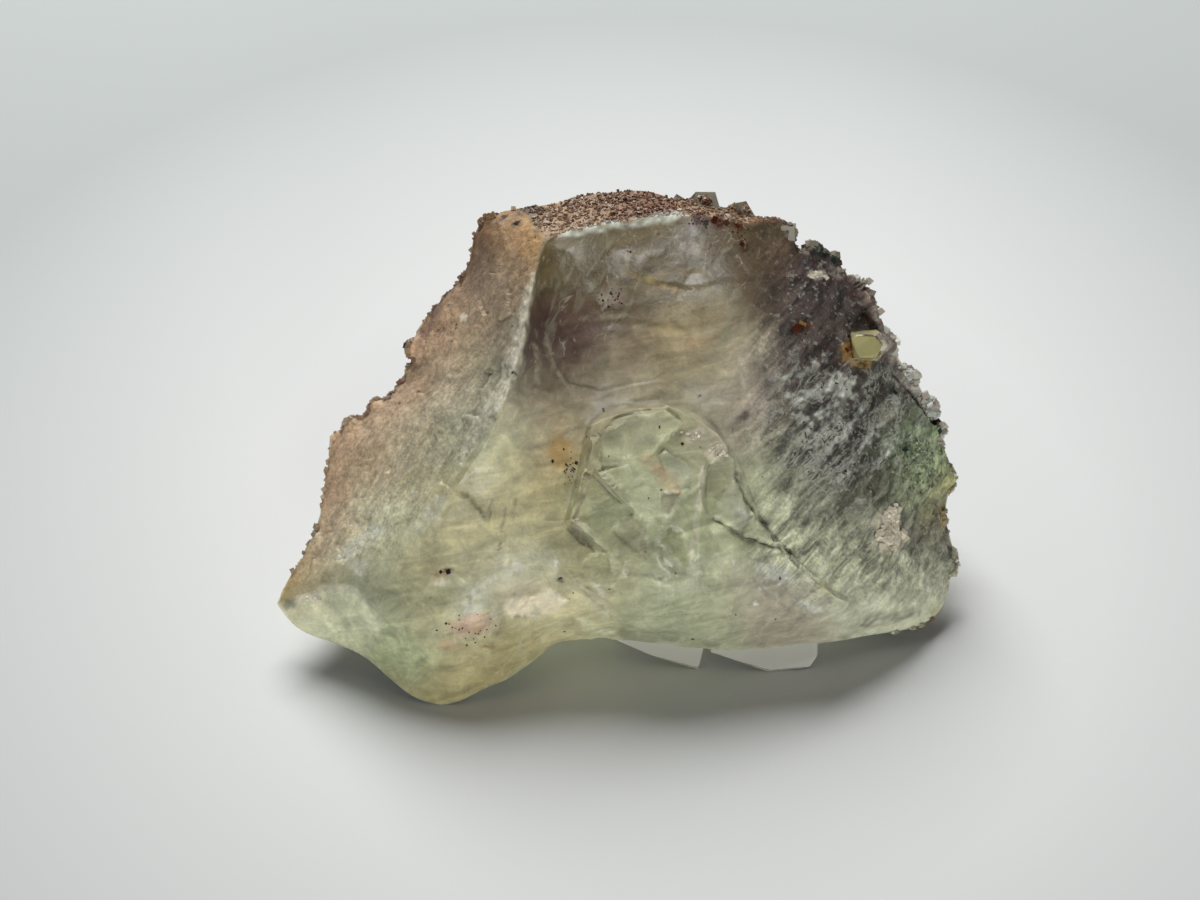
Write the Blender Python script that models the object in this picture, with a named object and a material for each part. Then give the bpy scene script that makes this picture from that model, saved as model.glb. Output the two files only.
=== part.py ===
"""Fluorite specimen: one broken lump, grown together with the cubes of its outer side.

The broken face is drawn flat, in millimetres, as an eye EYE_DISTANCE away and VIEW_TILT above the
table sees it: across to the right, up from the lump's lowest point, and toward the eye. The growth
side behind it, and the cleavage face that it rests on, are set out in the table's own frame. The two
skins meet along the outline, are cut fine, weathered, and joined with the crystals.
"""

import math
import random

import bmesh
import bpy
from mathutils import Euler, Matrix, Vector, noise
from mathutils.bvhtree import BVHTree
from mathutils.geometry import delaunay_2d_cdt

MM = 0.001
NODE = "fluorite_specimen"
BROKEN_SIDE, GROWN_SIDE = 0, 1

# The eye that the drawing belongs to
VIEW_TILT = math.radians(35)
EYE_DISTANCE = 235.0
EYE_ACROSS, EYE_UP = -2.1, 30.0

# The middle of the lump's box on the table, in the frame whose zero is the foot's tip
ROW_CENTRE = Vector((1.0, 28.2, 0.0))

# Linear colours and roughness of the broken inside and of the grown outside
INSIDE_FINISH = ((0.42, 0.45, 0.33), 0.35)
OUTSIDE_FINISH = ((0.16, 0.13, 0.17), 0.5)
FLUORITE_IOR = 1.434

# How fine the skin is cut on its broken side and its growth side, and how it is weathered
LONGEST_EDGE = [2.9, 4.6]
SOFTENING_ROUNDS = 2
BROKEN_GRIT, CRUST_GRIT, EDGE_GRIT = 0.18, 0.42, 0.12
LUMP_SIZE, GRAIN_SIZE = 7.0, 2.6

# The outline of the broken face, clockwise from the left tip: across, up, toward
LEFT_EDGE = [
    (-40.1, 11.9, -4.0), (-38.9, 14.6, -4.4), (-37.1, 17.4, -5.0), (-37.0, 18.5, -5.2),
    (-35.5, 20.2, -5.6), (-34.9, 23.0, -6.0), (-34.2, 27.7, -7.0), (-34.0, 31.7, -8.0),
    (-32.7, 32.6, -7.8), (-30.2, 34.0, -7.4), (-27.3, 36.4, -7.0), (-24.8, 38.7, -7.0),
    (-23.9, 39.6, -6.8), (-24.4, 43.0, -7.0), (-22.8, 45.6, -6.6), (-21.0, 47.6, -6.2),
    (-18.6, 50.0, -5.6), (-17.2, 52.6, -5.0), (-17.1, 55.2, -4.4), (-16.2, 56.9, -4.0),
]
CREST = [
    (-13.4, 58.1, -4.0), (-10.4, 58.6, -4.4), (-6.8, 59.0, -4.8), (-5.0, 59.9, -5.0),
    (-1.0, 60.3, -5.2), (3.2, 60.6, -5.2), (6.1, 59.7, -5.0), (9.9, 59.3, -4.6),
    (12.4, 58.4, -4.2), (15.0, 57.4, -3.6), (18.8, 57.4, -3.4), (19.9, 56.6, -3.6),
    (21.4, 53.2, -4.2),
]
RIGHT_EDGE = [
    (24.2, 54.0, -5.6), (26.2, 51.5, -6.4), (28.7, 47.6, -7.6), (31.4, 43.3, -9.0),
    (33.3, 40.4, -10.2), (35.6, 37.4, -11.8), (38.1, 33.0, -14.0),
]
RIGHT_FLANK = [
    (38.0, 31.2, -14.0), (39.0, 28.6, -14.4), (39.9, 26.6, -14.6), (38.6, 24.2, -14.2),
    (39.4, 20.4, -13.4), (39.0, 19.6, -13.0), (40.0, 16.6, -12.2), (39.0, 14.0, -11.4),
    (38.7, 11.8, -10.4), (36.8, 9.6, -9.2), (34.0, 8.8, -8.0), (30.1, 8.3, -6.6),
]
LOWER_EDGE = [
    (27.3, 7.7, -5.2), (23.6, 7.3, -4.2), (17.8, 6.7, -3.4), (12.8, 6.5, -3.0),
    (7.5, 6.8, -2.8), (1.6, 7.6, -3.0), (-3.2, 7.8, -3.4), (-5.6, 7.5, -3.2),
    (-8.0, 6.8, -2.6), (-9.9, 5.2, -1.6), (-13.1, 3.1, -0.8), (-16.2, 1.7, -0.3),
]
FOOT_EDGE = [
    (-18.5, 0.3, 0.0), (-20.7, 0.0, 0.0), (-22.6, 0.2, 0.0), (-24.1, 1.0, -0.4),
    (-27.4, 3.5, -1.6), (-29.3, 5.3, -2.4), (-31.5, 6.6, -3.2), (-34.6, 7.8, -4.0),
    (-37.5, 8.7, -4.6), (-39.2, 10.4, -4.4),
]
OUTLINE = LEFT_EDGE + CREST + RIGHT_EDGE + RIGHT_FLANK + LOWER_EDGE + FOOT_EDGE

# Sharp lines on the broken face, each drawn from one end to the other
RIDGE = [
    (-8.6, 55.0, 3.0), (-10.0, 49.5, 5.0), (-11.5, 41.8, 7.0), (-13.3, 35.9, 8.0),
    (-15.1, 31.2, 8.5), (-19.2, 25.4, 8.0), (-22.1, 20.6, 6.8), (-26.2, 16.9, 4.5),
    (-31.5, 14.8, 1.5), (-37.0, 12.5, -2.4), (-40.1, 11.9, -4.0),
]
LIP = [
    (-8.6, 55.0, 3.0), (-3.3, 56.2, 3.2), (2.6, 57.3, 3.2), (9.6, 57.7, 2.4),
    (14.9, 56.6, 0.6), (18.8, 57.4, -3.4),
]
LUMP_FOLD = [
    (13.8, 28.4, 5.4), (14.6, 24.2, 5.6), (12.5, 20.0, 6.2), (10.2, 13.5, 5.5), (4.0, 12.0, 5.5),
    (-0.9, 17.1, 6.4),
]
TIP_RIM = [
    (-31.5, 14.8, 1.5), (-28.2, 12.6, 4.0), (-26.9, 9.0, 3.0), (-26.8, 6.5, 1.2),
    (-29.3, 5.3, -2.4),
]
SHARP_LINES = [RIDGE, LIP, LUMP_FOLD, TIP_RIM]

# Cleavage steps: each line is the upper edge, and the skin drops on the left of its way
STEP_WIDTH, STEP_DROP = 0.7, 1.7
LUMP_STEP = [
    (-0.9, 17.1, 6.4), (-5.6, 21.8, 6.9), (-4.2, 27.5, 6.5), (-3.1, 33.0, 5.5), (1.0, 34.8, 5.0),
    (4.9, 35.2, 4.6), (9.6, 33.6, 4.8), (12.5, 30.8, 5.3), (13.8, 28.4, 5.4), (16.0, 22.5, 4.8),
    (19.5, 17.5, 4.4), (22.5, 15.0, 3.8), (26.5, 12.0, 2.6),
]
WEDGE_STEP = [(1.9, 23.3, 8.0), (-0.6, 25.8, 7.8), (-2.6, 27.9, 7.2)]
VEIN_STEP = [(9.9, 28.4, 6.8), (9.5, 24.1, 7.4)]
FOOT_STEP = [(0.4, 10.6, 2.6), (-1.4, 12.2, 4.4), (-5.2, 14.6, 5.8)]
SCAR_STEP = [(-13.4, 10.2, 6.0), (-10.9, 9.9, 5.2), (-9.4, 11.6, 5.4), (-11.2, 13.2, 6.2)]
STEPS = [LUMP_STEP, WEDGE_STEP, VEIN_STEP, FOOT_STEP, SCAR_STEP]

# Single points of the broken face between those lines
HOLLOW = [
    (-9.0, 50.0, 2.0), (-9.4, 44.2, 2.8), (-11.0, 37.0, 4.8), (-4.5, 47.7, 0.5), (0.2, 50.1, 0.0),
    (3.8, 44.2, -1.0), (-2.1, 39.0, -0.6), (7.3, 39.5, -1.0), (14.4, 47.7, -0.5), (9.0, 52.5, 0.8),
    (-4.0, 53.0, 1.4), (2.5, 54.0, 0.8), (-1.5, 37.2, 1.2), (7.0, 37.4, 0.8),
]
LUMP = [(4.6, 24.2, 7.9), (6.6, 29.4, 6.6), (5.0, 17.6, 7.8), (1.4, 30.2, 6.4)]
SMOOTH_BREAK = [
    (-12.7, 26.5, 7.3), (-9.2, 19.5, 7.0), (-16.2, 17.1, 7.0), (-8.0, 30.5, 5.4),
    (-11.2, 33.0, 6.0), (-18.0, 21.5, 7.6), (-20.0, 12.5, 6.6), (-14.0, 13.4, 6.8),
    (-19.8, 7.7, 5.2), (-21.5, 3.0, 2.2), (-13.9, 6.8, 3.4), (-25.0, 9.0, 4.4),
    (-17.0, 4.0, 2.4), (-33.8, 11.0, -0.4),
]
LOW_BREAK = [
    (20.0, 12.6, 3.4), (14.0, 14.6, 5.0), (-2.6, 9.4, 1.4), (-6.8, 10.3, 3.2), (3.8, 9.0, 1.8),
    (9.0, 9.6, 2.8), (15.5, 9.2, 1.4), (21.8, 9.4, 0.8),
]
MOTTLED_FLANK = [
    (18.0, 31.0, 2.5), (16.0, 37.0, 0.8), (21.5, 35.5, 0.6), (21.4, 42.0, -0.6),
    (21.0, 47.5, -1.8), (24.5, 49.5, -3.4), (28.5, 41.8, -3.8), (27.5, 33.0, -1.0),
    (33.2, 33.6, -6.0), (36.2, 27.5, -9.0), (27.3, 24.2, 0.4), (33.0, 25.0, -3.8),
    (31.4, 19.6, -2.2), (36.5, 17.1, -7.0), (29.6, 12.6, 0.0), (34.5, 12.0, -4.6),
    (20.5, 25.0, 2.6), (23.0, 19.5, 2.4),
]
LEFT_FLANK = [
    (-14.2, 54.5, -0.6), (-15.0, 50.0, 0.0), (-14.5, 43.5, 2.2), (-18.0, 44.5, -1.2),
    (-20.5, 38.5, -0.4), (-17.5, 36.0, 3.2), (-24.5, 33.0, -0.6), (-22.5, 28.5, 3.4),
    (-27.0, 27.0, -0.2), (-29.0, 30.5, -3.4), (-31.5, 24.0, -3.4), (-28.5, 21.5, 0.6),
    (-33.5, 18.0, -1.6),
]
CREST_SHELF = [(-10.8, 56.8, -0.4), (-4.0, 58.2, -1.0), (3.0, 59.2, -1.0), (9.4, 58.6, -1.4)]
BROKEN_POINTS = HOLLOW + LUMP + SMOOTH_BREAK + LOW_BREAK
GRITTY_POINTS = MOTTLED_FLANK + LEFT_FLANK + CREST_SHELF

# The cleavage face that the lump rests on, and the growth side behind: x, y, z from the foot's tip
REST_FACE = [
    (-24.0, 4.0), (-17.5, 3.5), (-12.0, 11.0), (0.0, 15.0), (9.0, 13.0), (23.0, 13.5),
    (29.0, 19.0), (27.5, 34.0), (12.0, 43.0), (-8.0, 45.0), (-24.0, 38.0), (-29.0, 23.0),
]
GROWTH_SIDE = [
    (-33.5, 19.0, 5.0), (-33.0, 28.0, 11.0), (-27.0, 38.0, 18.5), (-24.5, 41.0, 8.5),
    (-12.0, 48.5, 13.0), (-19.0, 37.0, 32.0), (-13.0, 44.5, 32.5), (3.0, 47.5, 34.5),
    (5.0, 50.5, 12.0), (15.0, 44.0, 37.0), (20.0, 46.0, 10.0), (22.0, 45.5, 34.5),
    (30.0, 42.0, 29.5), (38.0, 39.0, 16.5), (36.0, 32.0, 7.5), (33.0, 22.0, 5.0),
    (16.0, 48.5, 22.0), (-4.0, 49.5, 22.0), (29.0, 43.0, 17.0),
]

# Cube corners that show on the drawing: across, up, toward, edge, and the turn in the drawing's plane
SHOWN_CUBES = [
    (7.2, 58.5, -4.4, 1.9, 40), (10.0, 58.6, -4.2, 2.7, 48), (14.2, 57.9, -3.4, 2.2, 20),
    (12.3, 57.6, -3.0, 1.6, 62), (20.0, 55.6, -3.8, 1.7, 30), (23.0, 53.5, -5.2, 1.9, 35),
    (25.2, 52.2, -6.0, 1.8, 24), (-23.8, 41.9, -6.6, 2.1, 18), (-24.2, 39.3, -6.8, 1.7, 50),
    (-31.3, 33.0, -7.4, 1.7, 28), (-28.3, 35.0, -7.0, 1.9, 55), (-15.2, 56.6, -3.8, 1.9, 30),
    (31.6, 42.4, -9.0, 2.0, 40), (34.2, 38.7, -10.8, 2.0, 30), (36.8, 35.0, -12.6, 2.1, 52),
    (37.7, 32.4, -13.4, 1.7, 20), (38.6, 26.6, -13.8, 2.2, 44), (38.8, 16.4, -11.6, 2.0, 33),
    (29.3, 42.2, -3.4, 3.1, 8),
]

# The two clear cleavage corners under the lower edge: drawn points, then points behind on the table
CLEAVAGE_CORNERS = [
    (
        [(-0.2, 7.6, -4.9), (3.9, 5.8, -5.0), (9.5, 4.2, -5.2), (10.1, 6.6, -5.0), (9.8, 9.5, -5.0)],
        [(10.0, 17.0, 0.2), (1.0, 18.0, 0.2), (10.0, 15.0, 6.0), (1.0, 15.0, 6.0)],
    ),
    (
        [(10.8, 6.2, -4.4), (13.6, 5.4, -4.8), (17.8, 3.9, -4.8), (22.6, 4.4, -5.1),
         (23.5, 5.7, -5.0), (23.6, 8.0, -5.0), (12.0, 9.0, -4.4)],
        [(12.0, 17.0, 0.2), (24.0, 17.0, 0.2), (24.0, 15.0, 5.0), (12.0, 15.0, 5.0)],
    ),
]

# Cubes grown over the far side, nearly parallel: how many, their edges, and how deep they sit
GROWN_CUBES = [(15, (9.0, 14.0), 0.24), (52, (3.2, 7.0), 0.12)]
CUBE_TURN = (36.0, 8.0, 42.0)
TURN_SPREAD = 9.0
CUBE_SPACING = 0.72
OUTLINE_CLEARANCE = 1.2
SCATTER_SEED = 11


def seen(across, up, toward):
    """The point that lies `toward` in front of the drawing where the eye sees (across, up)."""
    sheet = Vector((across, up, 0.0))
    eye = Vector((EYE_ACROSS, EYE_UP, EYE_DISTANCE))
    right, high, near = sheet.lerp(eye, toward / EYE_DISTANCE)
    tilt_sin, tilt_cos = math.sin(VIEW_TILT), math.cos(VIEW_TILT)
    return Vector((right, high * tilt_sin - near * tilt_cos, high * tilt_cos + near * tilt_sin))


def drawn(point):
    """Where the eye sees a point on the drawing, as (across, up)."""
    tilt_sin, tilt_cos = math.sin(VIEW_TILT), math.cos(VIEW_TILT)
    high = point.y * tilt_sin + point.z * tilt_cos
    near = point.z * tilt_sin - point.y * tilt_cos
    shrink = EYE_DISTANCE / (EYE_DISTANCE - near)
    return Vector((EYE_ACROSS + (point.x - EYE_ACROSS) * shrink, EYE_UP + (high - EYE_UP) * shrink))


def above_table(point):
    return Vector((point.x, point.y, max(point.z, 0.0)))


def distance_to_outline(spot):
    """How far a spot of the drawing lies inside the outline; negative outside."""
    ring = [Vector(p[:2]) for p in OUTLINE]
    inside = False
    nearest = math.inf
    for a, b in zip(ring, ring[1:] + ring[:1]):
        along = b - a
        share = min(1.0, max(0.0, (spot - a).dot(along) / along.length_squared))
        nearest = min(nearest, (spot - a - share * along).length)
        if (a.y > spot.y) != (b.y > spot.y) and spot.x < a.x + (spot.y - a.y) / along.y * along.x:
            inside = not inside
    return nearest if inside else -nearest


def step_foot(line):
    """The lower edge of a cleavage step, beside and behind its upper edge."""
    foot = []
    for index, (across, up, toward) in enumerate(line):
        before, after = line[max(index - 1, 0)], line[min(index + 1, len(line) - 1)]
        along = Vector((after[0] - before[0], after[1] - before[1])).normalized()
        foot.append((across - along.y * STEP_WIDTH, up + along.x * STEP_WIDTH, toward - STEP_DROP))
    return foot


class Skin:
    """One side of the lump: points with their grit, and the lines that stay sharp, laid flat."""

    def __init__(self):
        self.spots, self.places, self.grit, self.lines, self.known = [], [], [], [], {}

    def add(self, place, spot, grit):
        key = (round(spot[0], 2), round(spot[1], 2))
        if key not in self.known:
            self.known[key] = len(self.spots)
            self.spots.append(Vector(spot[:2]))
            self.places.append(place)
            self.grit.append(grit)
        return self.known[key]

    def line(self, indices, closed=False):
        ends = indices[1:] + (indices[:1] if closed else [])
        self.lines += [(a, b) for a, b in zip(indices, ends) if a != b]

    def triangles(self):
        """The flat triangulation inside the outline, which keeps every line as an edge."""
        _, _, faces, origins, _, _ = delaunay_2d_cdt(self.spots, self.lines, [], 1, 1e-4)
        return [[origins[v][0] for v in face] for face in faces]


def broken_skin():
    """The side that faces the eye, fresh where it broke and gritty where it was exposed."""
    skin = Skin()
    skin.line([skin.add(seen(*p), p, EDGE_GRIT) for p in OUTLINE], closed=True)
    for line in SHARP_LINES + STEPS + [step_foot(line) for line in STEPS]:
        skin.line([skin.add(seen(*p), p, EDGE_GRIT) for p in line])
    for p in BROKEN_POINTS:
        skin.add(seen(*p), p, BROKEN_GRIT)
    for p in GRITTY_POINTS:
        skin.add(seen(*p), p, CRUST_GRIT)
    return skin


def growth_skin():
    """The side away from the eye, with the flat face below it."""
    skin = Skin()
    skin.line([skin.add(seen(*p), p, EDGE_GRIT) for p in OUTLINE], closed=True)
    ring = []
    for x, y in REST_FACE:
        place = Vector((x, y, 0.0))
        ring.append(skin.add(place, drawn(place), 0.0))
    skin.line(ring, closed=True)
    for p in GROWTH_SIDE:
        place = Vector(p)
        skin.add(place, drawn(place), CRUST_GRIT)
    return skin


def add_skin(mesh, skin, faces, side, grit, rim):
    """Builds a skin's faces, on the outline's own points where another skin has made them."""
    points = list(rim)
    for place, amount in list(zip(skin.places, skin.grit))[len(rim):]:
        point = mesh.verts.new(place)
        point[grit] = amount
        points.append(point)
    for corners in faces:
        mesh.faces.new([points[i] for i in corners]).material_index = side
    for a, b in skin.lines:
        edge = mesh.edges.get((points[a], points[b]))
        if edge:
            edge.smooth = False
    return points[: len(OUTLINE)]


def cut_fine(mesh):
    """Splits the longest edge of every large face until none is over its side's longest."""
    while True:
        cut = set()
        for face in mesh.faces:
            edge = max(face.edges, key=lambda e: e.calc_length())
            if edge.calc_length() > LONGEST_EDGE[face.material_index]:
                cut.add(edge)
        if not cut:
            return
        bmesh.ops.subdivide_edges(mesh, edges=[e for e in mesh.edges if e in cut], cuts=1)
        bmesh.ops.triangulate(mesh, faces=[f for f in mesh.faces if len(f.verts) > 3])


def rests(point):
    """True for a point of the rest face."""
    return abs(point.co.z) < 1e-6


def soften(mesh):
    """Rounds the broken hollows, leaving the sharp lines, the outline and the rest face."""
    sharp = {v for e in mesh.edges if not e.smooth for v in e.verts}
    loose = [v for v in mesh.verts if v not in sharp and not rests(v)]
    for _ in range(SOFTENING_ROUNDS):
        bmesh.ops.smooth_vert(
            mesh, verts=loose, factor=0.5, use_axis_x=True, use_axis_y=True, use_axis_z=True
        )


def weather(mesh, grit):
    """Pushes the skin in and out by its grit, in lumps and in grains."""
    mesh.normal_update()
    moves = []
    for v in mesh.verts:
        lump = noise.noise(v.co / LUMP_SIZE)
        grain = noise.noise(v.co / GRAIN_SIZE + Vector((17.0, 5.0, 9.0)))
        moves.append(v.normal * v[grit] * (1.6 * lump + 1.1 * grain))
    for v, move in zip(list(mesh.verts), moves):
        if rests(v):
            continue
        v.co = above_table(v.co + move)


def make_lump():
    """The lump without its crystals, as a closed mesh in millimetres from the foot's tip."""
    mesh = bmesh.new()
    grit = mesh.verts.layers.float.new("grit")
    near, far = broken_skin(), growth_skin()
    near_faces, far_faces = near.triangles(), far.triangles()
    flaps = {frozenset(face) for face in near_faces} & {frozenset(face) for face in far_faces}
    near_faces = [face for face in near_faces if frozenset(face) not in flaps]
    far_faces = [face[::-1] for face in far_faces if frozenset(face) not in flaps]
    rim = add_skin(mesh, near, near_faces, BROKEN_SIDE, grit, [])
    add_skin(mesh, far, far_faces, GROWN_SIDE, grit, rim)
    bmesh.ops.delete(mesh, geom=[v for v in mesh.verts if not v.link_faces], context="VERTS")
    cut_fine(mesh)
    soften(mesh)
    weather(mesh, grit)
    return mesh


def cube(middle, edge, turn):
    """A cube's corners, turned about its middle."""
    half = edge / 2
    corners = [Vector((x, y, z)) for x in (-half, half) for y in (-half, half) for z in (-half, half)]
    return [middle + turn @ corner for corner in corners]


def shown_cubes():
    """Cubes on the outline, one edge toward the eye and a corner up."""
    for across, up, toward, edge, degrees in SHOWN_CUBES:
        lean = Matrix.Rotation(VIEW_TILT, 3, "X") @ Matrix.Rotation(math.radians(degrees), 3, "Y")
        yield cube(seen(across, up, toward), edge, lean @ Matrix.Rotation(math.radians(30), 3, "X"))


def cleavage_corners():
    for shown, behind in CLEAVAGE_CORNERS:
        yield [above_table(seen(*p)) for p in shown] + [Vector(p) for p in behind]


def grown_cubes(lump):
    """Cubes half sunk in the far side, none of which shows past the outline."""
    draw = random.Random(SCATTER_SEED)
    tree = BVHTree.FromBMesh(lump)
    placed = []
    for count, edges, rise in GROWN_CUBES:
        wanted = len(placed) + count
        while len(placed) < wanted:
            start = Vector((draw.uniform(-38, 42), 90.0, draw.uniform(3, 46)))
            edge = draw.uniform(*edges)
            turns = [math.radians(t + draw.uniform(-TURN_SPREAD, TURN_SPREAD)) for t in CUBE_TURN]
            hit, normal, _, _ = tree.ray_cast(start, Vector((0.0, -1.0, 0.0)))
            if hit is None or hit.z < edge * 0.8:
                continue
            middle = hit - normal * edge * (0.5 - rise)
            if any((middle - m).length < (edge + e) / 2 * CUBE_SPACING for m, e, _ in placed):
                continue
            corners = cube(middle, edge, Euler(turns).to_matrix())
            if min(distance_to_outline(drawn(c)) for c in corners) > OUTLINE_CLEARANCE:
                placed.append((middle, edge, corners))
    return [corners for _, _, corners in placed]


def hull_object(name, corners, material):
    """A convex crystal through these corners."""
    mesh = bmesh.new()
    for corner in corners:
        mesh.verts.new((corner - ROW_CENTRE) * MM)
    bmesh.ops.convex_hull(mesh, input=mesh.verts)
    bmesh.ops.recalc_face_normals(mesh, faces=mesh.faces)
    return link_object(name, mesh, [material])


def link_object(name, mesh, materials):
    data = bpy.data.meshes.new(name)
    mesh.to_mesh(data)
    mesh.free()
    for material in materials:
        data.materials.append(material)
    obj = bpy.data.objects.new(name, data)
    bpy.context.scene.collection.objects.link(obj)
    return obj


def fluorite(name, colour, roughness):
    material = bpy.data.materials.new(name)
    material.use_nodes = True
    shader = material.node_tree.nodes["Principled BSDF"]
    shader.inputs["Base Color"].default_value = (*colour, 1.0)
    shader.inputs["Roughness"].default_value = roughness
    shader.inputs["Metallic"].default_value = 0.0
    shader.inputs["IOR"].default_value = FLUORITE_IOR
    return material


def join_crystals(lump, crystals):
    """Grows the crystals into the lump as one solid."""
    helpers = bpy.data.collections.new("crystals")
    bpy.context.scene.collection.children.link(helpers)
    for crystal in crystals:
        bpy.context.scene.collection.objects.unlink(crystal)
        helpers.objects.link(crystal)
        crystal.hide_render = True
        crystal.display_type = "WIRE"
    union = lump.modifiers.new("grown together", "BOOLEAN")
    union.operation = "UNION"
    union.operand_type = "COLLECTION"
    union.collection = helpers
    union.solver = "EXACT"
    union.use_self = True
    union.material_mode = "TRANSFER"


def main():
    for old in list(bpy.data.objects):
        bpy.data.objects.remove(old)
    inside = fluorite("cloudy green fluorite", *INSIDE_FINISH)
    outside = fluorite("violet grown fluorite", *OUTSIDE_FINISH)
    lump_mesh = make_lump()
    grown = [*shown_cubes(), *grown_cubes(lump_mesh)]
    crystals = [hull_object(f"cube_{n:02d}", corners, outside) for n, corners in enumerate(grown)]
    for n, corners in enumerate(cleavage_corners()):
        crystals.append(hull_object(f"cleavage_corner_{n}", corners, inside))
    bmesh.ops.translate(lump_mesh, verts=lump_mesh.verts, vec=-ROW_CENTRE)
    bmesh.ops.scale(lump_mesh, verts=lump_mesh.verts, vec=Vector((MM, MM, MM)))
    join_crystals(link_object(NODE, lump_mesh, [inside, outside]), crystals)


main()
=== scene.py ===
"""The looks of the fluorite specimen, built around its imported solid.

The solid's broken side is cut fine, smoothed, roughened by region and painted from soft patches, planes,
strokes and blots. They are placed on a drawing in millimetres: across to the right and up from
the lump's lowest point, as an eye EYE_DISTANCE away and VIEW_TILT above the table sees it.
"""

import math
import random

import bmesh
import bpy
import numpy as np
from bpy.props import FloatProperty, FloatVectorProperty, IntProperty, PointerProperty
from mathutils import Euler, Matrix, Vector, noise
from mathutils.kdtree import KDTree


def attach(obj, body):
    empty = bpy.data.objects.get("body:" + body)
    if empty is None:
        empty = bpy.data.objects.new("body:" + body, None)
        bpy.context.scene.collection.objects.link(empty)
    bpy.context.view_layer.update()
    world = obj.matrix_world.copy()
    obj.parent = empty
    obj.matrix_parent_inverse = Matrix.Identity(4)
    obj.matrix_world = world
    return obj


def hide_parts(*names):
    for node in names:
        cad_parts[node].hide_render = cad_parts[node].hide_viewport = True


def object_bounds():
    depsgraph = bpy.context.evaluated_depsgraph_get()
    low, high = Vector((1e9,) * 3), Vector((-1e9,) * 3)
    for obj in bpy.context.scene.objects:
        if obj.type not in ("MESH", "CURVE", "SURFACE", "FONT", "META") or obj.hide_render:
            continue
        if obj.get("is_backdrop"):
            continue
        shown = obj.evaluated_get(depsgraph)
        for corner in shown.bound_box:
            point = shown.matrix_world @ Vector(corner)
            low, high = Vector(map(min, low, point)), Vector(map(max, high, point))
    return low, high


bl_info = {
    "name": "Fluorite Specimen",
    "version": (1, 0, 0),
    "blender": (4, 5, 0),
    "location": "3D View > Sidebar > Fluorite",
    "description": "Finishes a broken lump of cloudy fluorite with its crust and clear corners",
    "category": "Object",
}

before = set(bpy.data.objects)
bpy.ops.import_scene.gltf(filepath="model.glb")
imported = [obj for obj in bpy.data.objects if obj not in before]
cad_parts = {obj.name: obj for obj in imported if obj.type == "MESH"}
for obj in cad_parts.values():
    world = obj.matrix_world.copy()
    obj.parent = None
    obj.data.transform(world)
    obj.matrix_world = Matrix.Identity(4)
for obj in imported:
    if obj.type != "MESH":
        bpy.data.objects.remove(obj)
CAD_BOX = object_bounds()

NODE = "fluorite_specimen"
BODY = "root"
MM = 0.001

# The eye that the drawing belongs to, and the middle of the lump's box in the drawing's own frame
VIEW_TILT = math.radians(35)
TILT_SIN, TILT_COS = math.sin(VIEW_TILT), math.cos(VIEW_TILT)
EYE_DISTANCE = 235.0
EYE_ACROSS, EYE_UP = -2.1, 30.0
ROW_CENTRE = Vector((1.0, 28.2, 0.0))

# The photograph shows this width of the drawing, on a camera back this wide
FRAME_WIDTH = 141.2
SENSOR_WIDTH = 36.0

FLUORITE_IOR = 1.434
BROKEN, GROWN, CRYSTAL = 0, 1, 2

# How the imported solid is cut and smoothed, in millimetres: points this close are one, a crystal's mesh
# edges may be this long, and the skin below the foot's height is flat
FLAT_ANGLE = math.radians(0.06)
SHARP_ANGLE = math.radians(38)
WELD = 0.002
CRYSTAL_EDGE = 3.0
FOOT_HEIGHT = 0.3
SMOOTHING_ROUNDS = 26
FACET_SIZE = 3.2

# The clear pieces: how far they stay above the table, how much larger their room is, their chamfer
TABLE_GAP = 0.2
ROOM_SCALE = 1.012
CHAMFER = 0.12

# The bruise on the low front, whose edges are worn
SCAR = (-12.4, 11.7)
SCAR_REACH = 4.2
SCAR_ROUNDS = 8

# The right flank's lace: its middle, its half width and half height, and how light its ground is
LACE_MIDDLE = (26.5, 33.0)
LACE_REACH = (9.5, 9.0)
LACE_GROUND = 0.88

# How painted borders wander: how far and over what size in millimetres, and the noise's own shift
WANDER = {
    "facets": (0.35, 2.0, 3.0),
    "patches": (1.6, 4.5, 11.0),
    "patch edges": (0.7, 1.3, 19.0),
    "planes": (0.12, 1.4, 53.0),
    "strokes": (0.3, 1.2, 23.0),
    "ragged strokes": (0.8, 0.8, 63.0),
    "blots": (0.45, 0.9, 29.0),
    "steps": (0.25, 1.5, 73.0),
    "grooves": (0.35, 1.1, 23.0),
}

# The left facet's fibres and the right flank's ribs: degrees on the drawing; length, width and depth
FIBRE_ANGLE, FIBRE_SIZE = 57.0, (3.4, 0.55, 1.2)
RIB_ANGLE, RIB_SIZE = 42.0, (3.0, 0.8, 1.4)
# The size of the grains; that of the ripples' bends, how far they bend and how close they follow
GRAIN_SIZE = 0.9
RIPPLE_SIZE, RIPPLE_BEND, RIPPLE_PACE = 9.0, 22.0, 0.8
# How rough the relief and the gloss are: on the left facet, the right flank, the crest, and all over
RELIEF_ROUGHNESS = (0.9, 1.0, 0.9, 0.12)
GLOSS_ROUGHNESS = (0.55, 0.7, 1.0, 0.22)
FAR_ROUGHNESS = 0.5

# How far the painted planes lean and rise, each at random
PLANE_SEED = 5
PLANE_LEAN = 0.22
PLANE_RISE = 0.15

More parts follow.
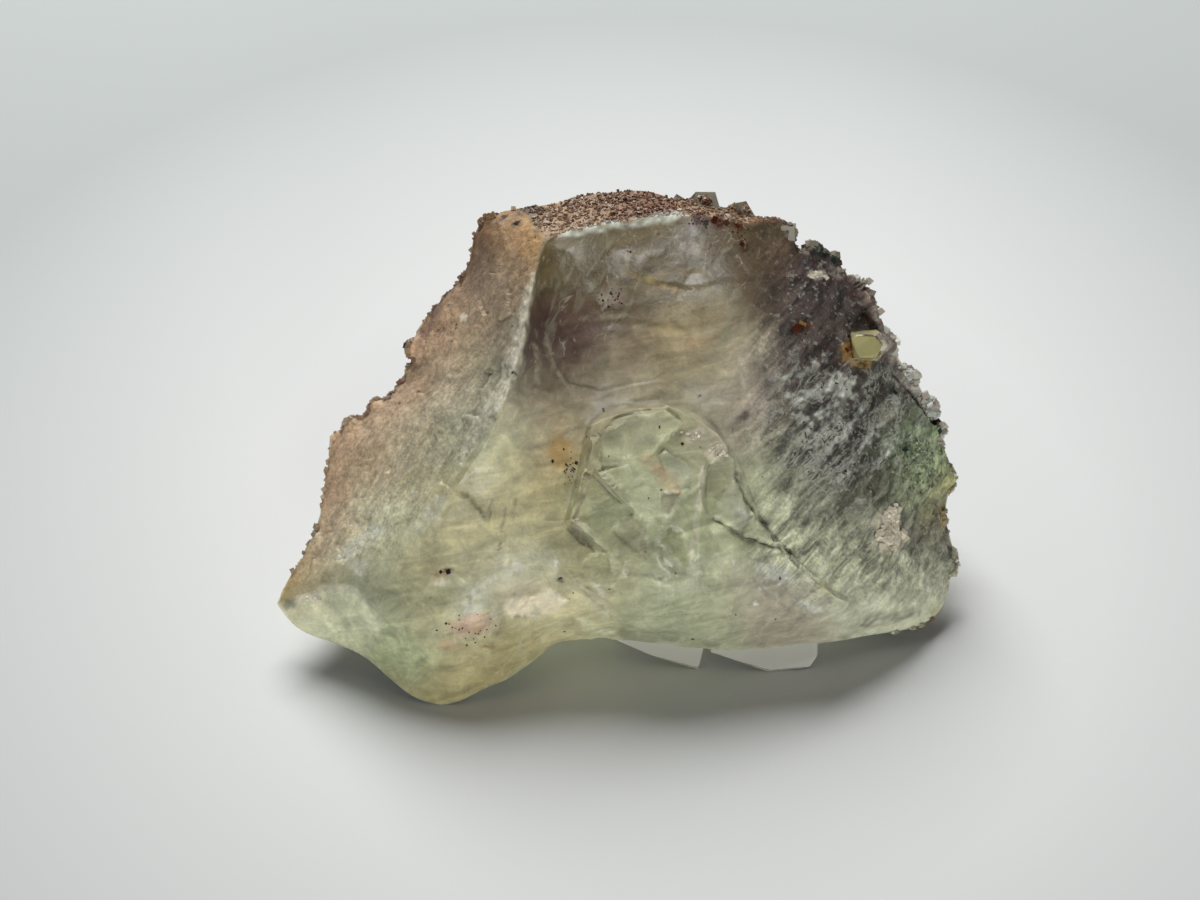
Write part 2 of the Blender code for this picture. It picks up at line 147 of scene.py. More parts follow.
# The crust and the specks. The green patch is given as drawn: its middle, half width and half height.
# The stone's border is where the skin looks past the eye, and the far crystals keep clear of it.
CRUST_SEED = 40
SPECK_SEED = 7
GREEN_GRAINS = 420
GREEN_PATCH = (35.4, 28.4, 2.2, 3.0)
SPECK_HEIGHT = 0.12
TINY_SPECK = (0.1, 0.24)
GRAIN_JITTER = 0.14
CREST_CUBES = 5
CREST_LEAN = Vector((0.0, 0.45, 0.9))
BORDER_OUTLOOK = 0.35
OUTLINE_CLEARANCE = 2.6
YELLOW_SPOT = (29.4, 42.2)
YELLOW_CLEARANCE = 2.4

# Painted light: the stone's painted colours are drawn this much lighter, standing in for the light that
# glows through it and lights its front
PAINTED_GLOW_GAIN = 1.42
# The clear pieces: how much is seen through, how strongly each absorbs, and how rough its faces are
CLEARNESS = 0.5
CORNER_DENSITY, CORNER_ROUGHNESS = 20.0, 0.12
YELLOW_DENSITY, YELLOW_ROUGHNESS = 150.0, 0.15

# Patterns of the cloudy stone. Drawn out: degrees on the drawing, length and width in millimetres,
# detail, roughness, distortion. Even: size in millimetres, detail, roughness, distortion.
DRAWN_OUT = {
    "silk": (12.0, 7.0, 1.8, 5.0, 0.6, 0.9),
    "sheen": (66.0, 3.4, 1.3, 3.0, 0.5, 1.0),
    "veils": (60.0, 5.0, 2.6, 2.0, 0.5, 0.5),
    "ribs": (57.0, 3.6, 0.42, 5.0, 0.65, 0.5),
    "long ribs": (57.0, 9.0, 1.2, 4.0, 0.55, 0.6),
    "ground": (46.0, 4.6, 1.1, 6.0, 0.62, 0.6),
    "fans": (48.0, 11.0, 3.0, 5.0, 0.66, 1.4),
    "lace": (42.0, 3.0, 1.0, 9.0, 0.74, 1.5),
}
EVEN = {
    "clouds": (2.6, 6.0, 0.65, 0.8),
    "sugar": (1.1, 6.0, 0.72, 0.0),
    "flecks": (0.8, 5.0, 0.75, 0.0),
    "grains": (0.38, 3.0, 0.65, 0.0),
}

# The stage, in metres: the middle of the pool of light painted on the board, how far from there it fades
# to painted shade and in what oval, half the board's width, and the lights' places and widths
LAMP_SPOT = (0.006, 0.008, 0.0)
FALL_OFF = (0.056, 0.124)
FALL_OFF_SHAPE = (1.0, 0.75, 1.0)
FLOOR_HALF = 3.0
KEY_SOFTBOX = Vector((-0.08, 0.45, 0.67)), 0.56
FRONT_FILL = Vector((0.10, -0.85, 0.05)), 0.17

# Outlines of the broken side's facets on the drawing: across, up
RIDGE_LINE = [
    (-8.6, 55.0), (-10.0, 49.5), (-11.5, 41.8), (-13.3, 35.9), (-15.1, 31.2), (-19.2, 25.4),
    (-22.1, 20.6), (-26.2, 16.9), (-31.5, 14.8), (-37.0, 12.5), (-41.0, 11.5),
]
LIP_LINE = [(-8.6, 55.0), (-3.3, 56.2), (2.6, 57.3), (9.6, 57.7), (14.9, 56.6), (20.5, 57.0)]
LEFT_FACET = RIDGE_LINE + [(-44.0, 20.0), (-40.0, 40.0), (-20.0, 62.0), (-14.0, 62.0)]
CREST_SHELF = LIP_LINE + [(20.0, 64.0), (-14.0, 64.0)]
TIP_FACET = [
    (-41.0, 11.5), (-37.0, 12.5), (-34.9, 14.3), (-30.8, 13.9), (-29.3, 11.4), (-27.8, 9.1),
    (-28.0, 7.6), (-29.3, 5.9), (-32.0, 3.0), (-42.0, 6.0),
]

# The two clear corners under the lower edge: points as drawn, then points behind on the table
CLEAVAGE_CORNERS = [
    (
        [(-0.2, 7.6, -4.9), (3.9, 5.8, -5.0), (9.5, 4.2, -5.2), (10.1, 6.6, -5.0), (9.8, 9.5, -5.0)],
        [(10.0, 17.0, 0.2), (1.0, 18.0, 0.2), (10.0, 15.0, 6.0), (1.0, 15.0, 6.0)],
    ),
    (
        [
            (10.8, 6.2, -4.4), (13.6, 5.4, -4.8), (17.8, 3.9, -4.8), (22.6, 4.4, -5.1),
            (23.5, 5.7, -5.0), (23.6, 8.0, -5.0), (12.0, 9.0, -4.4),
        ],
        [(12.0, 17.0, 0.2), (24.0, 17.0, 0.2), (24.0, 15.0, 5.0), (12.0, 15.0, 5.0)],
    ),
]
# The yellow crystal on the right edge, as drawn: its front, then its back
YELLOW_CRYSTAL = [
    (27.5, 43.0, -1.8), (28.2, 43.6, -1.9), (30.1, 43.4, -1.7), (31.2, 42.4, -2.0), (30.4, 41.1, -1.4),
    (28.5, 40.9, -1.2), (27.9, 41.8, -1.1), (27.3, 43.9, -5.0), (30.6, 44.2, -5.2), (31.9, 42.3, -5.6),
    (30.6, 40.4, -5.2), (27.6, 40.6, -4.8),
]
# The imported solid's cubes along the outline, which the crust covers: across, up, toward, edge
OUTLINE_CUBES = [
    (7.2, 58.5, -4.4, 1.9), (10.0, 58.6, -4.2, 2.7), (14.2, 57.9, -3.4, 2.2), (12.3, 57.6, -3.0, 1.6),
    (20.0, 55.6, -3.8, 1.7), (23.0, 53.5, -5.2, 1.9), (25.2, 52.2, -6.0, 1.8), (-23.8, 41.9, -6.6, 2.1),
    (-24.2, 39.3, -6.8, 1.7), (-31.3, 33.0, -7.4, 1.7), (-28.3, 35.0, -7.0, 1.9), (-15.2, 56.6, -3.8, 1.9),
    (31.6, 42.4, -9.0, 2.0), (34.2, 38.7, -10.8, 2.0), (36.8, 35.0, -12.6, 2.1), (37.7, 32.4, -13.4, 1.7),
    (38.6, 26.6, -13.8, 2.2), (38.8, 16.4, -11.6, 2.0), (29.3, 42.2, -3.4, 3.1),
]

# Soft patches of colour: across, up, colour
LEFT_PATCHES = [
    (-15.0, 56.2, "umber"), (-11.6, 55.6, "ochre"), (-14.6, 52.6, "slate"), (-16.6, 50.0, "slate"),
    (-18.6, 51.6, "umber"), (-12.4, 51.0, "tan"), (-12.4, 47.6, "umber"), (-14.6, 46.4, "ash"),
    (-17.6, 46.6, "tan"), (-20.4, 46.6, "clay"), (-16.0, 42.6, "smoke"), (-19.4, 42.8, "tan"),
    (-22.0, 43.2, "clay"), (-23.4, 39.6, "clay"), (-25.8, 36.4, "clay"), (-20.6, 39.4, "sand"),
    (-18.0, 38.6, "fog"), (-20.5, 34.8, "fog"), (-16.0, 36.5, "fog"), (-12.8, 43.0, "ash"),
    (-14.6, 38.8, "sedge"), (-28.8, 34.4, "tan"), (-32.4, 31.8, "clay"), (-33.6, 27.2, "clay"),
    (-29.8, 30.2, "sand"), (-31.2, 27.4, "tan"), (-24.6, 33.6, "sand"), (-24.0, 29.8, "fog"),
    (-27.6, 26.6, "sand"), (-34.4, 22.2, "clay"), (-31.6, 22.8, "sand"), (-29.2, 22.4, "pale"),
    (-35.2, 17.8, "tan"), (-37.6, 14.6, "ochre"), (-32.0, 18.2, "pale"), (-26.0, 22.0, "pale"),
    (-21.6, 26.6, "straw"), (-29.4, 17.4, "pale"), (-18.0, 31.4, "sedge"), (-10.8, 46.6, "fog"),
    (-33.4, 15.4, "fog"),
]
SHELF_PATCHES = [
    (-12.4, 57.4, "umber"), (-8.0, 58.6, "mauve"), (-2.4, 59.6, "mauve"), (3.2, 60.2, "mauve"),
    (2.6, 58.6, "mauve"), (-2.4, 57.4, "tan"), (-7.2, 56.4, "tan"), (-9.4, 56.6, "tan"),
    (8.4, 58.4, "umber"), (6.2, 59.4, "umber"), (12.0, 57.8, "tan"), (16.0, 57.4, "umber"),
]
CENTRE_PATCHES = [
    (-7.5, 51.0, "olive"), (-3.5, 51.5, "olive"), (-2.0, 54.4, "olive"), (3.8, 54.5, "olive"),
    (9.0, 53.5, "smoke"), (2.6, 50.6, "olive"), (-0.8, 47.7, "smoke"), (-5.5, 47.5, "smoke"),
    # The ink patch at -10.2 across and 40.6 up, in the hollow's left wall under the ridge, is partly dark
    # violet stone and partly painted shade in that recess.
    (-8.3, 44.8, "plum"), (-6.4, 42.4, "plum"), (-10.2, 40.6, "ink"), (-2.5, 43.7, "plum"),
    (3.4, 42.4, "sand"), (8.0, 43.0, "honey"), (5.4, 46.8, "olive"), (10.0, 48.0, "ash"),
    (4.0, 39.4, "sand"), (-2.0, 38.0, "fawn"), (1.2, 36.0, "fawn"), (-6.8, 38.0, "smoke"),
    (9.5, 37.5, "sand"), (13.0, 42.5, "sand"), (11.6, 39.6, "pale"), (15.5, 38.4, "lilac"),
    (14.5, 55.0, "smoke"), (18.0, 53.5, "smoke"), (16.0, 48.5, "smoke"), (20.5, 51.0, "plum"),
    (23.5, 50.6, "ink"), (21.5, 45.8, "slate"), (27.0, 46.0, "slate"), (30.4, 42.6, "slate"),
    (20.5, 39.8, "slate"), (24.5, 41.0, "plum"), (28.5, 38.0, "slate"), (32.4, 37.0, "slate"),
    (22.5, 34.5, "slate"), (25.4, 31.2, "ink"), (22.6, 28.4, "peat"), (28.5, 33.4, "slate"),
    (29.6, 29.2, "ink"), (33.5, 33.5, "bottle"), (31.0, 25.6, "peat"), (34.5, 27.5, "fern"),
    (36.4, 29.4, "fern"), (26.0, 24.2, "peat"), (21.5, 23.4, "putty"), (29.5, 21.6, "putty"),
    (18.8, 28.4, "pale"), (18.0, 25.0, "pale"), (16.5, 31.4, "fog"), (14.5, 34.4, "lilac"),
    (20.5, 19.0, "pale"), (26.0, 17.0, "pale"), (33.0, 16.4, "pale"), (36.8, 20.0, "slate"),
    (38.6, 24.4, "khaki"),
    (35.5, 12.2, "pale"), (31.0, 11.4, "putty"), (38.0, 14.2, "putty"), (12.0, 19.0, "sage"),
    (16.5, 12.5, "ash"), (21.5, 10.0, "ash"), (9.5, 12.5, "sage"), (9.5, 8.0, "sedge"),
    (13.4, 24.4, "sage"), (27.5, 12.5, "putty"), (2.5, 32.0, "sage"), (7.5, 32.0, "sage"),
    (4.0, 25.5, "pale"), (0.0, 23.0, "sage"), (10.4, 30.2, "fog"), (5.0, 21.0, "sage"),
    (-2.0, 28.5, "sage"), (9.5, 25.5, "sage"), (-2.0, 12.5, "straw"), (0.5, 9.4, "sedge"),
    (5.0, 11.0, "sedge"), (-7.0, 12.5, "straw"), (-9.0, 10.0, "straw"), (-16.4, 24.0, "straw"),
    (-11.5, 26.5, "straw"), (-9.0, 21.5, "straw"), (-14.0, 17.6, "straw"), (-9.6, 15.6, "sedge"),
    (-7.0, 30.0, "honey"), (-9.4, 33.0, "sand"), (-13.6, 31.4, "pale"), (-11.0, 36.2, "ash"),
    (-4.4, 34.4, "fawn"), (-20.6, 2.4, "reed"), (-16.2, 4.4, "reed"), (-11.5, 7.4, "reed"),
    (-24.6, 5.8, "leaf"), (-21.6, 11.0, "straw"), (-23.4, 16.6, "straw"), (-26.0, 12.5, "sedge"),
    (-19.6, 20.6, "straw"), (-17.6, 12.8, "sedge"),
]
TIP_PATCHES = [
    (-38.4, 11.8, "sand"), (-35.4, 11.8, "pale"), (-32.2, 12.0, "pale"), (-31.0, 8.6, "sage"),
    (-35.2, 8.8, "pale"),
]
GROWN_PATCHES = [
    (-30.0, 20.0, "fog"), (-24.0, 34.0, "lilac"), (-10.0, 46.0, "plum"), (-8.0, 30.0, "slate"),
    (6.0, 52.0, "plum"), (10.0, 36.0, "ink"), (22.0, 42.0, "plum"), (28.0, 32.0, "slate"),
    (32.0, 18.0, "ash"), (14.0, 22.0, "lilac"), (-12.0, 16.0, "sage"), (8.0, 8.0, "sage"),
    (24.0, 8.0, "sedge"), (-24.0, 6.0, "sedge"), (-31.3, 33.0, "tan"), (-28.3, 35.4, "umber"),
    (-24.2, 39.3, "umber"), (-23.8, 42.2, "plum"), (-15.2, 57.0, "umber"), (7.2, 59.0, "mauve"),
    (10.0, 59.2, "mauve"), (14.2, 58.4, "umber"), (20.0, 56.0, "lilac"), (23.0, 54.0, "pine"),
    (25.4, 52.6, "ink"), (31.8, 43.0, "lilac"), (34.6, 39.2, "ice"), (37.2, 35.4, "lilac"),
    (38.2, 32.4, "pine"), (39.2, 26.6, "putty"), (39.4, 16.4, "khaki"),
]

# Planes inside the clear green part that catch the light each in its own way: colour, strength, outline
PLANES = [
    ("ash", 0.55, [
        (-3.3, 31.5), (-2.4, 30.7), (-2.6, 28.3), (-3.5, 25.4), (-4.9, 22.1), (-5.4, 21.9),
        (-4.5, 24.6), (-3.5, 27.8),
    ]),
    ("ash", 0.6, [(-2.5, 28.2), (-1.4, 27.1), (1.8, 23.6), (1.2, 23.5), (-1.4, 26.0), (-2.5, 27.4)]),
    ("slate", 0.5, [(-2.8, 26.6), (-1.9, 26.1), (0.7, 23.9), (0.1, 23.7), (-1.1, 24.5), (-2.1, 25.5)]),
    ("slate", 0.5, [
        (-5.2, 22.1), (-4.3, 21.6), (-2.7, 20.0), (-1.1, 18.0), (-2.4, 17.7), (-4.5, 19.2), (-6.1, 20.7),
    ]),
    ("moss", 0.55, [
        (6.1, 20.9), (7.4, 20.6), (8.2, 17.8), (7.8, 16.1), (6.4, 15.5), (5.2, 17.2), (4.7, 18.8),
    ]),
    ("ash", 0.55, [(5.2, 25.0), (7.4, 25.2), (7.2, 23.9), (6.0, 22.3), (5.0, 22.7)]),
    ("putty", 0.45, [
        (4.9, 29.3), (5.6, 29.8), (9.1, 27.9), (8.5, 25.6), (7.4, 25.2), (6.4, 26.2), (5.2, 28.3),
    ]),
    ("putty", 0.45, [
        (11.5, 23.6), (13.8, 26.8), (15.0, 23.9), (16.0, 22.3), (14.8, 20.2), (13.4, 20.7), (11.5, 21.9),
    ]),
    ("pale", 0.35, [
        (-3.1, 17.7), (-1.0, 17.6), (0.4, 16.5), (1.0, 15.3), (-0.6, 13.9), (-2.8, 13.9),
        (-4.3, 15.3), (-4.1, 16.8),
    ]),
    ("bone", 0.45, [(-10.4, 12.6), (-8.0, 13.8), (-5.6, 12.5), (-7.2, 11.1), (-9.6, 10.2), (-12.2, 10.2)]),
    ("putty", 0.5, [
        (-5.9, 15.1), (-4.3, 13.9), (-2.7, 13.0), (-1.0, 11.4), (-1.2, 10.0), (-1.8, 10.2), (-3.3, 12.2),
    ]),
    ("pale", 0.3, [(-2.2, 32.0), (1.5, 33.6), (5.4, 34.6), (7.6, 33.0), (3.0, 28.6), (-2.0, 27.6)]),
    ("lilac", 0.5, [
        (26.6, 51.0), (29.4, 45.4), (32.7, 38.6), (37.4, 33.0), (40.0, 34.0), (34.0, 44.0), (29.0, 51.0),
    ]),
    ("fog", 0.45, [(2.0, 22.4), (3.6, 19.6), (3.4, 17.0), (1.6, 18.4), (-0.6, 20.4), (0.2, 22.0)]),
]

# Steps where the stone broke from one plane to the next: height, reach to each side, the line.
# The side on the left of the line's run stands lower.
STEPS = [
    (0.7, 3.0, [(-5.4, 21.8), (-3.5, 27.4), (-2.9, 31.3), (-0.2, 33.6), (5.6, 35.1), (9.6, 33.7)]),
    (0.6, 2.2, [(9.6, 33.6), (12.4, 31.0), (13.8, 28.4), (15.0, 24.4), (17.0, 21.6), (19.4, 19.2)]),
    (0.5, 1.8, [(-0.4, 16.9), (-1.2, 18.0), (-2.8, 20.0), (-5.2, 22.0)]),
    (-0.45, 1.6, [(1.7, 23.7), (-1.4, 27.0), (-2.6, 28.2)]),
    (0.45, 2.0, [(11.3, 22.0), (12.8, 20.9), (15.0, 19.6), (17.1, 19.0), (20.1, 18.1)]),
    (0.4, 2.0, [(9.0, 16.4), (9.5, 23.5), (10.1, 28.0)]),
    (-0.35, 1.6, [(6.4, 22.6), (7.6, 24.4), (10.0, 26.2)]),
    (0.35, 1.6, [(4.6, 18.9), (5.2, 17.0), (6.4, 15.4), (8.0, 16.0)]),
    (0.4, 2.0, [(1.8, 17.0), (0.6, 16.2), (1.0, 15.3), (3.3, 15.2), (6.0, 14.6)]),
    (0.45, 2.2, [(-5.9, 15.1), (-3.2, 13.2), (-1.0, 11.2), (-0.8, 9.2)]),
    (0.25, 1.6, [(-22.0, 15.0), (-19.4, 15.9), (-17.8, 14.8)]),
    (0.25, 2.0, [(-19.2, 25.4), (-17.5, 24.4), (-15.4, 21.6)]),
    (0.4, 3.0, [(-10.4, 42.0), (-8.0, 41.0), (-6.0, 38.0), (-2.0, 37.0), (3.6, 38.2), (8.0, 40.6)]),
    (0.15, 3.0, [(-5.0, 45.4), (0.4, 45.4), (6.0, 44.4), (11.0, 44.6)]),
    (0.18, 2.6, [(1.0, 51.0), (4.8, 49.6), (9.4, 49.0), (13.6, 50.4)]),
    (0.5, 2.4, [(14.2, 41.6), (14.8, 38.4), (15.4, 35.2), (14.6, 33.0)]),
    (0.5, 2.4, [(15.4, 47.8), (18.4, 45.4), (19.6, 42.2), (18.4, 38.8)]),
]

# Strokes: colour, width, strength, the points that each follows; a minus width cuts a groove too
STROKES = [
    # The first five strokes follow the ridge: partly a white vein along it, partly a painted highlight on
    # its edge.
    ("bone", 0.55, 0.85, [(-9.9, 50.6), (-10.6, 48.4), (-11.4, 43.2), (-12.6, 38.6), (-14.2, 34.6)]),
    ("bone", 0.8, 0.5, [(-11.0, 47.0), (-12.0, 42.0), (-13.6, 37.0), (-16.6, 32.6), (-18.6, 28.6)]),
    ("ice", 0.9, 0.45, [(-20.4, 24.6), (-21.8, 22.6), (-23.8, 20.4)]),
    ("ice", 0.8, 0.6, [(-27.8, 21.4), (-29.2, 20.0), (-30.8, 18.6), (-33.0, 17.2)]),
    ("ice", 0.9, 0.45, [(-29.8, 17.0), (-30.8, 15.4)]),
    ("fawn", 0.3, 0.6, [(-8.6, 43.9), (-8.2, 41.8), (-7.0, 39.0), (-5.6, 37.2), (-4.8, 35.6)]),
    ("fawn", 0.3, 0.5, [(-9.8, 42.4), (-9.3, 39.8), (-9.5, 37.2), (-10.8, 35.0)]),
    ("fawn", 0.25, 0.5, [(-4.8, 45.5), (-2.0, 45.6), (0.2, 45.5)]),
    # Painted highlights: the pale strokes that follow the cleavage steps, here and further down, and the
    # bone strokes at 10 and 15 across light the steps' edges.
    ("pale", 0.3, 0.6, [(-2.2, 37.4), (-0.4, 37.3), (1.2, 37.8), (3.6, 38.0)]),
    ("ice", 0.5, 0.9, [(-6.9, 55.2), (-3.0, 56.0), (0.6, 56.6), (4.0, 57.1), (8.3, 57.6)]),
    ("honey", 0.35, 0.8, [(3.2, 50.4), (5.0, 49.4), (6.6, 48.9), (8.0, 48.2)]),
    ("honey", 0.3, 0.4, [(0.0, 51.0), (3.0, 50.2), (7.0, 51.2), (10.6, 50.8)]),
    ("pale", 0.25, 0.6, [(-0.2, 33.6), (4.5, 35.1), (5.8, 35.3), (8.4, 34.4), (9.9, 33.2)]),
    ("pale", 0.3, 0.6, [(-3.5, 31.0), (-4.6, 27.4), (-6.2, 22.4)]),
    ("pale", 0.25, 0.6, [(-4.9, 21.6), (-3.4, 20.4), (-2.0, 18.6), (-0.8, 17.2), (0.6, 16.4)]),
    ("pale", 0.25, 0.6, [(-2.4, 28.4), (-0.6, 26.7), (1.4, 24.6)]),
    ("tan", 0.8, 0.6, [(2.7, 29.4), (4.4, 28.2), (5.6, 26.6), (7.2, 25.0)]),
    ("bone", 0.3, 0.7, [(10.1, 28.2), (9.6, 25.8), (9.5, 23.5), (9.1, 19.6), (8.4, 16.5)]),
    ("pale", 0.25, 0.7, [(9.9, 26.2), (8.4, 24.8), (7.4, 24.3), (6.4, 22.7), (4.8, 20.4)]),
    ("pale", 0.25, 0.6, [(1.0, 15.2), (3.3, 15.2), (5.0, 14.2), (6.6, 13.6)]),
    ("pale", 0.5, 0.45, [(9.4, 20.0), (9.0, 17.0), (8.2, 14.0), (10.2, 16.8), (12.4, 14.4)]),
    ("ice", 0.5, 0.95, [(19.5, 36.0), (22.3, 36.2), (24.8, 37.6), (26.8, 39.2)]),
    ("ice", 0.4, 0.95, [(20.5, 33.8), (22.9, 33.6), (25.1, 34.9), (26.8, 37.5), (27.5, 39.0)]),
    ("ice", 0.5, 0.9, [(21.4, 30.2), (23.8, 31.7), (25.7, 34.0), (27.2, 37.2), (28.3, 39.1)]),
    ("ice", 0.35, 0.9, [(23.0, 28.6), (25.0, 30.4), (26.4, 31.6), (27.6, 33.6), (29.8, 36.4)]),
    ("ice", 0.4, 0.9, [(26.2, 26.6), (28.3, 27.8), (29.8, 28.4), (31.3, 29.1), (32.8, 31.4)]),
    ("ice", 0.4, 0.8, [(28.0, 29.6), (30.2, 32.0), (32.0, 33.6), (33.4, 36.0)]),
    ("ice", 0.3, 0.6, [(18.8, 31.6), (21.0, 31.4), (23.0, 32.6)]),
    ("ice", 0.3, 0.6, [(17.4, 38.2), (20.0, 38.4), (22.6, 39.4), (25.4, 41.4)]),
    ("bone", 0.4, 0.5, [(14.4, 41.2), (14.9, 38.0), (15.4, 35.4)]),
    ("ink", -0.3, 0.75, [(13.9, 28.3), (14.0, 26.6), (15.2, 24.1), (17.1, 21.5), (18.8, 19.6)]),
    ("peat", -0.3, 0.8, [(11.3, 22.0), (12.8, 20.9), (15.0, 19.6), (17.1, 19.0), (20.1, 18.1)]),
    ("peat", 0.25, 0.6, [(-19.2, 25.2), (-17.6, 24.4), (-16.2, 22.8), (-15.3, 21.4)]),
    ("peat", 0.2, 0.6, [(-15.2, 21.6), (-14.9, 23.2), (-14.6, 24.6)]),
    ("peat", 0.2, 0.55, [(-14.0, 17.6), (-13.8, 20.6), (-13.1, 23.4)]),
    ("peat", 0.2, 0.5, [(-12.4, 21.8), (-12.0, 24.8)]),
    ("khaki", 0.25, 0.7, [(23.4, 14.2), (24.6, 13.6), (26.0, 13.5)]),
    ("ash", 0.4, 0.6, [(-6.2, 15.2), (-3.6, 13.4), (-1.6, 12.4), (-0.8, 10.8)]),
    ("pale", 0.4, 0.6, [(-4.6, 10.2), (-1.4, 8.6), (0.4, 7.8)]),
    ("plum", 0.4, 0.95, [
        (26.1, 51.1), (27.9, 48.1), (29.1, 45.4), (30.9, 41.7), (32.6, 38.5), (34.7, 36.2),
    ]),
    ("bone", 0.5, 0.5, [(-34.6, 13.9), (-30.9, 13.5), (-29.5, 11.2), (-28.2, 9.2), (-28.4, 7.8)]),
    ("leaf", 0.6, 0.6, [(-27.6, 9.4), (-27.0, 7.6), (-26.2, 6.2), (-24.2, 3.4)]),
    ("reed", 0.9, 0.6, [(-28.6, 5.2), (-25.0, 2.0), (-22.4, 0.6), (-19.0, 0.8), (-14.0, 3.2)]),
    ("ink", 0.8, 0.5, [(28.6, 9.4), (32.0, 10.2), (35.6, 11.0)]),
    ("pale", 0.7, 0.5, [(27.6, 7.9), (31.0, 8.6), (34.4, 9.2), (37.4, 10.8)]),
]

# Blots: colour, across, up, half length, half width, turn in degrees, strength
BLOTS = [
    ("rust", 9.7, 57.0, 1.1, 0.8, 0, 0.95), ("rust", 11.8, 56.9, 0.9, 0.7, 20, 0.9),
    ("rust", 14.2, 56.4, 0.8, 0.5, -20, 0.8), ("rust", 14.8, 53.9, 1.0, 0.3, -55, 0.8),
    ("rust", 21.4, 44.4, 1.25, 0.75, 20, 0.95), ("rust", 1.1, 53.7, 0.9, 0.25, 10, 0.7),
    ("rust", -1.1, 53.3, 0.5, 0.5, 0, 0.5), ("rust", 4.7, 55.4, 0.25, 0.25, 0, 0.7),
    ("rust", 8.1, 53.4, 0.5, 0.3, 30, 0.6), ("rust", 10.8, 53.9, 0.3, 0.5, 0, 0.6),
    ("rust", 0.2, 49.0, 0.35, 0.3, 0, 0.7), ("rust", -1.2, 50.0, 0.3, 0.3, 0, 0.6),
    ("ochre", 27.4, 41.6, 1.2, 1.3, 0, 0.8), ("rust", 27.6, 42.4, 0.5, 0.9, 0, 0.7),
    ("ochre", 28.6, 40.3, 1.4, 0.6, -10, 0.7), ("ochre", -6.6, 29.8, 1.6, 2.0, 0, 0.5),
    ("tan", 9.2, 42.6, 2.4, 0.7, 8, 0.5), ("tan", 4.5, 43.4, 0.6, 0.4, 0, 0.5),
    ("clay", -17.2, 9.4, 2.8, 1.2, 14, 0.75), ("rust", -15.3, 6.9, 0.9, 0.3, 5, 0.5),
    ("clay", -19.8, 7.0, 1.2, 0.6, -15, 0.5),
    ("cream", -11.3, 11.6, 1.9, 1.1, 8, 0.9), ("sand", -10.4, 12.4, 4.4, 2.4, -10, 0.45),
    ("ink", -19.9, 15.9, 0.7, 0.3, 5, 0.85), ("bone", -20.9, 14.4, 1.3, 0.4, 8, 0.7),
    ("tan", -21.2, 15.6, 1.3, 1.0, 0, 0.35), ("ink", -6.8, 14.9, 0.3, 0.3, 0, 0.8),
    ("cream", 11.3, 29.7, 1.3, 0.9, 20, 0.7), ("cream", 9.1, 31.9, 1.2, 0.7, 25, 0.6),
    # The ice blots low on the front, from 14.8 to 22.6 across, are painted highlights.
    ("ink", 14.8, 34.0, 0.9, 0.6, 10, 0.6), ("ice", 18.4, 15.6, 2.6, 0.9, -20, 0.6),
    ("ice", 22.6, 11.6, 1.6, 0.5, -30, 0.6), ("ice", 16.1, 12.0, 0.5, 0.25, -40, 0.8),
    ("ice", 14.8, 22.4, 1.2, 0.5, -45, 0.5), ("pale", 12.0, 21.0, 1.6, 1.1, 20, 0.5),
    ("fog", 31.7, 33.9, 1.2, 1.6, 0, 0.6), ("fern", 35.2, 28.6, 2.0, 2.4, 0, 0.6),
    ("fern", 35.2, 32.0, 0.9, 0.9, 0, 0.7), ("pine", 33.9, 30.2, 0.8, 0.8, 0, 0.8),
    ("ochre", 38.3, 22.2, 0.6, 1.2, 0, 0.7), ("khaki", 37.8, 10.9, 1.0, 0.8, 0, 0.6),
    ("pine", 23.8, 53.4, 1.2, 0.8, -30, 0.8), ("ink", 22.2, 52.0, 1.4, 0.8, -35, 0.7),
    ("lilac", 25.7, 50.7, 1.0, 0.6, -40, 0.7), ("bone", 23.4, 50.6, 1.0, 0.6, 0, 0.6),
    ("ink", -13.5, 57.3, 0.9, 0.25, 35, 0.9), ("ink", -11.9, 56.7, 0.6, 0.25, 0, 0.9),
    ("ink", -10.6, 58.2, 1.8, 0.5, 8, 0.6), ("ink", -21.3, 46.4, 1.2, 0.6, 55, 0.6),
    ("plum", -22.6, 43.8, 1.6, 0.7, 60, 0.6), ("cream", -18.1, 45.6, 0.5, 0.6, 0, 0.8),
    ("slate", -38.6, 11.9, 0.8, 0.6, 20, 0.7), ("bone", -36.4, 12.7, 1.8, 0.5, 15, 0.6),
    ("ink", -8.2, 44.2, 2.6, 1.3, -35, 0.2), ("plum", -5.4, 43.2, 2.6, 1.2, -20, 0.2),
    ("ink", -12.2, 39.0, 0.25, 0.25, 0, 0.9), ("lilac", -0.6, 48.2, 1.8, 1.2, 0, 0.4),
    ("ink", 21.2, 29.2, 2.0, 1.2, 20, 0.6), ("ink", 25.9, 28.4, 1.8, 0.9, 35, 0.6),
    ("ink", 30.2, 28.4, 1.3, 1.0, 30, 0.6), ("ink", 25.0, 33.4, 1.5, 0.6, 45, 0.5),
    ("slate", 34.4, 19.6, 1.6, 2.2, 10, 0.4), ("cream", 31.8, 20.2, 1.8, 2.2, 20, 0.4),
]

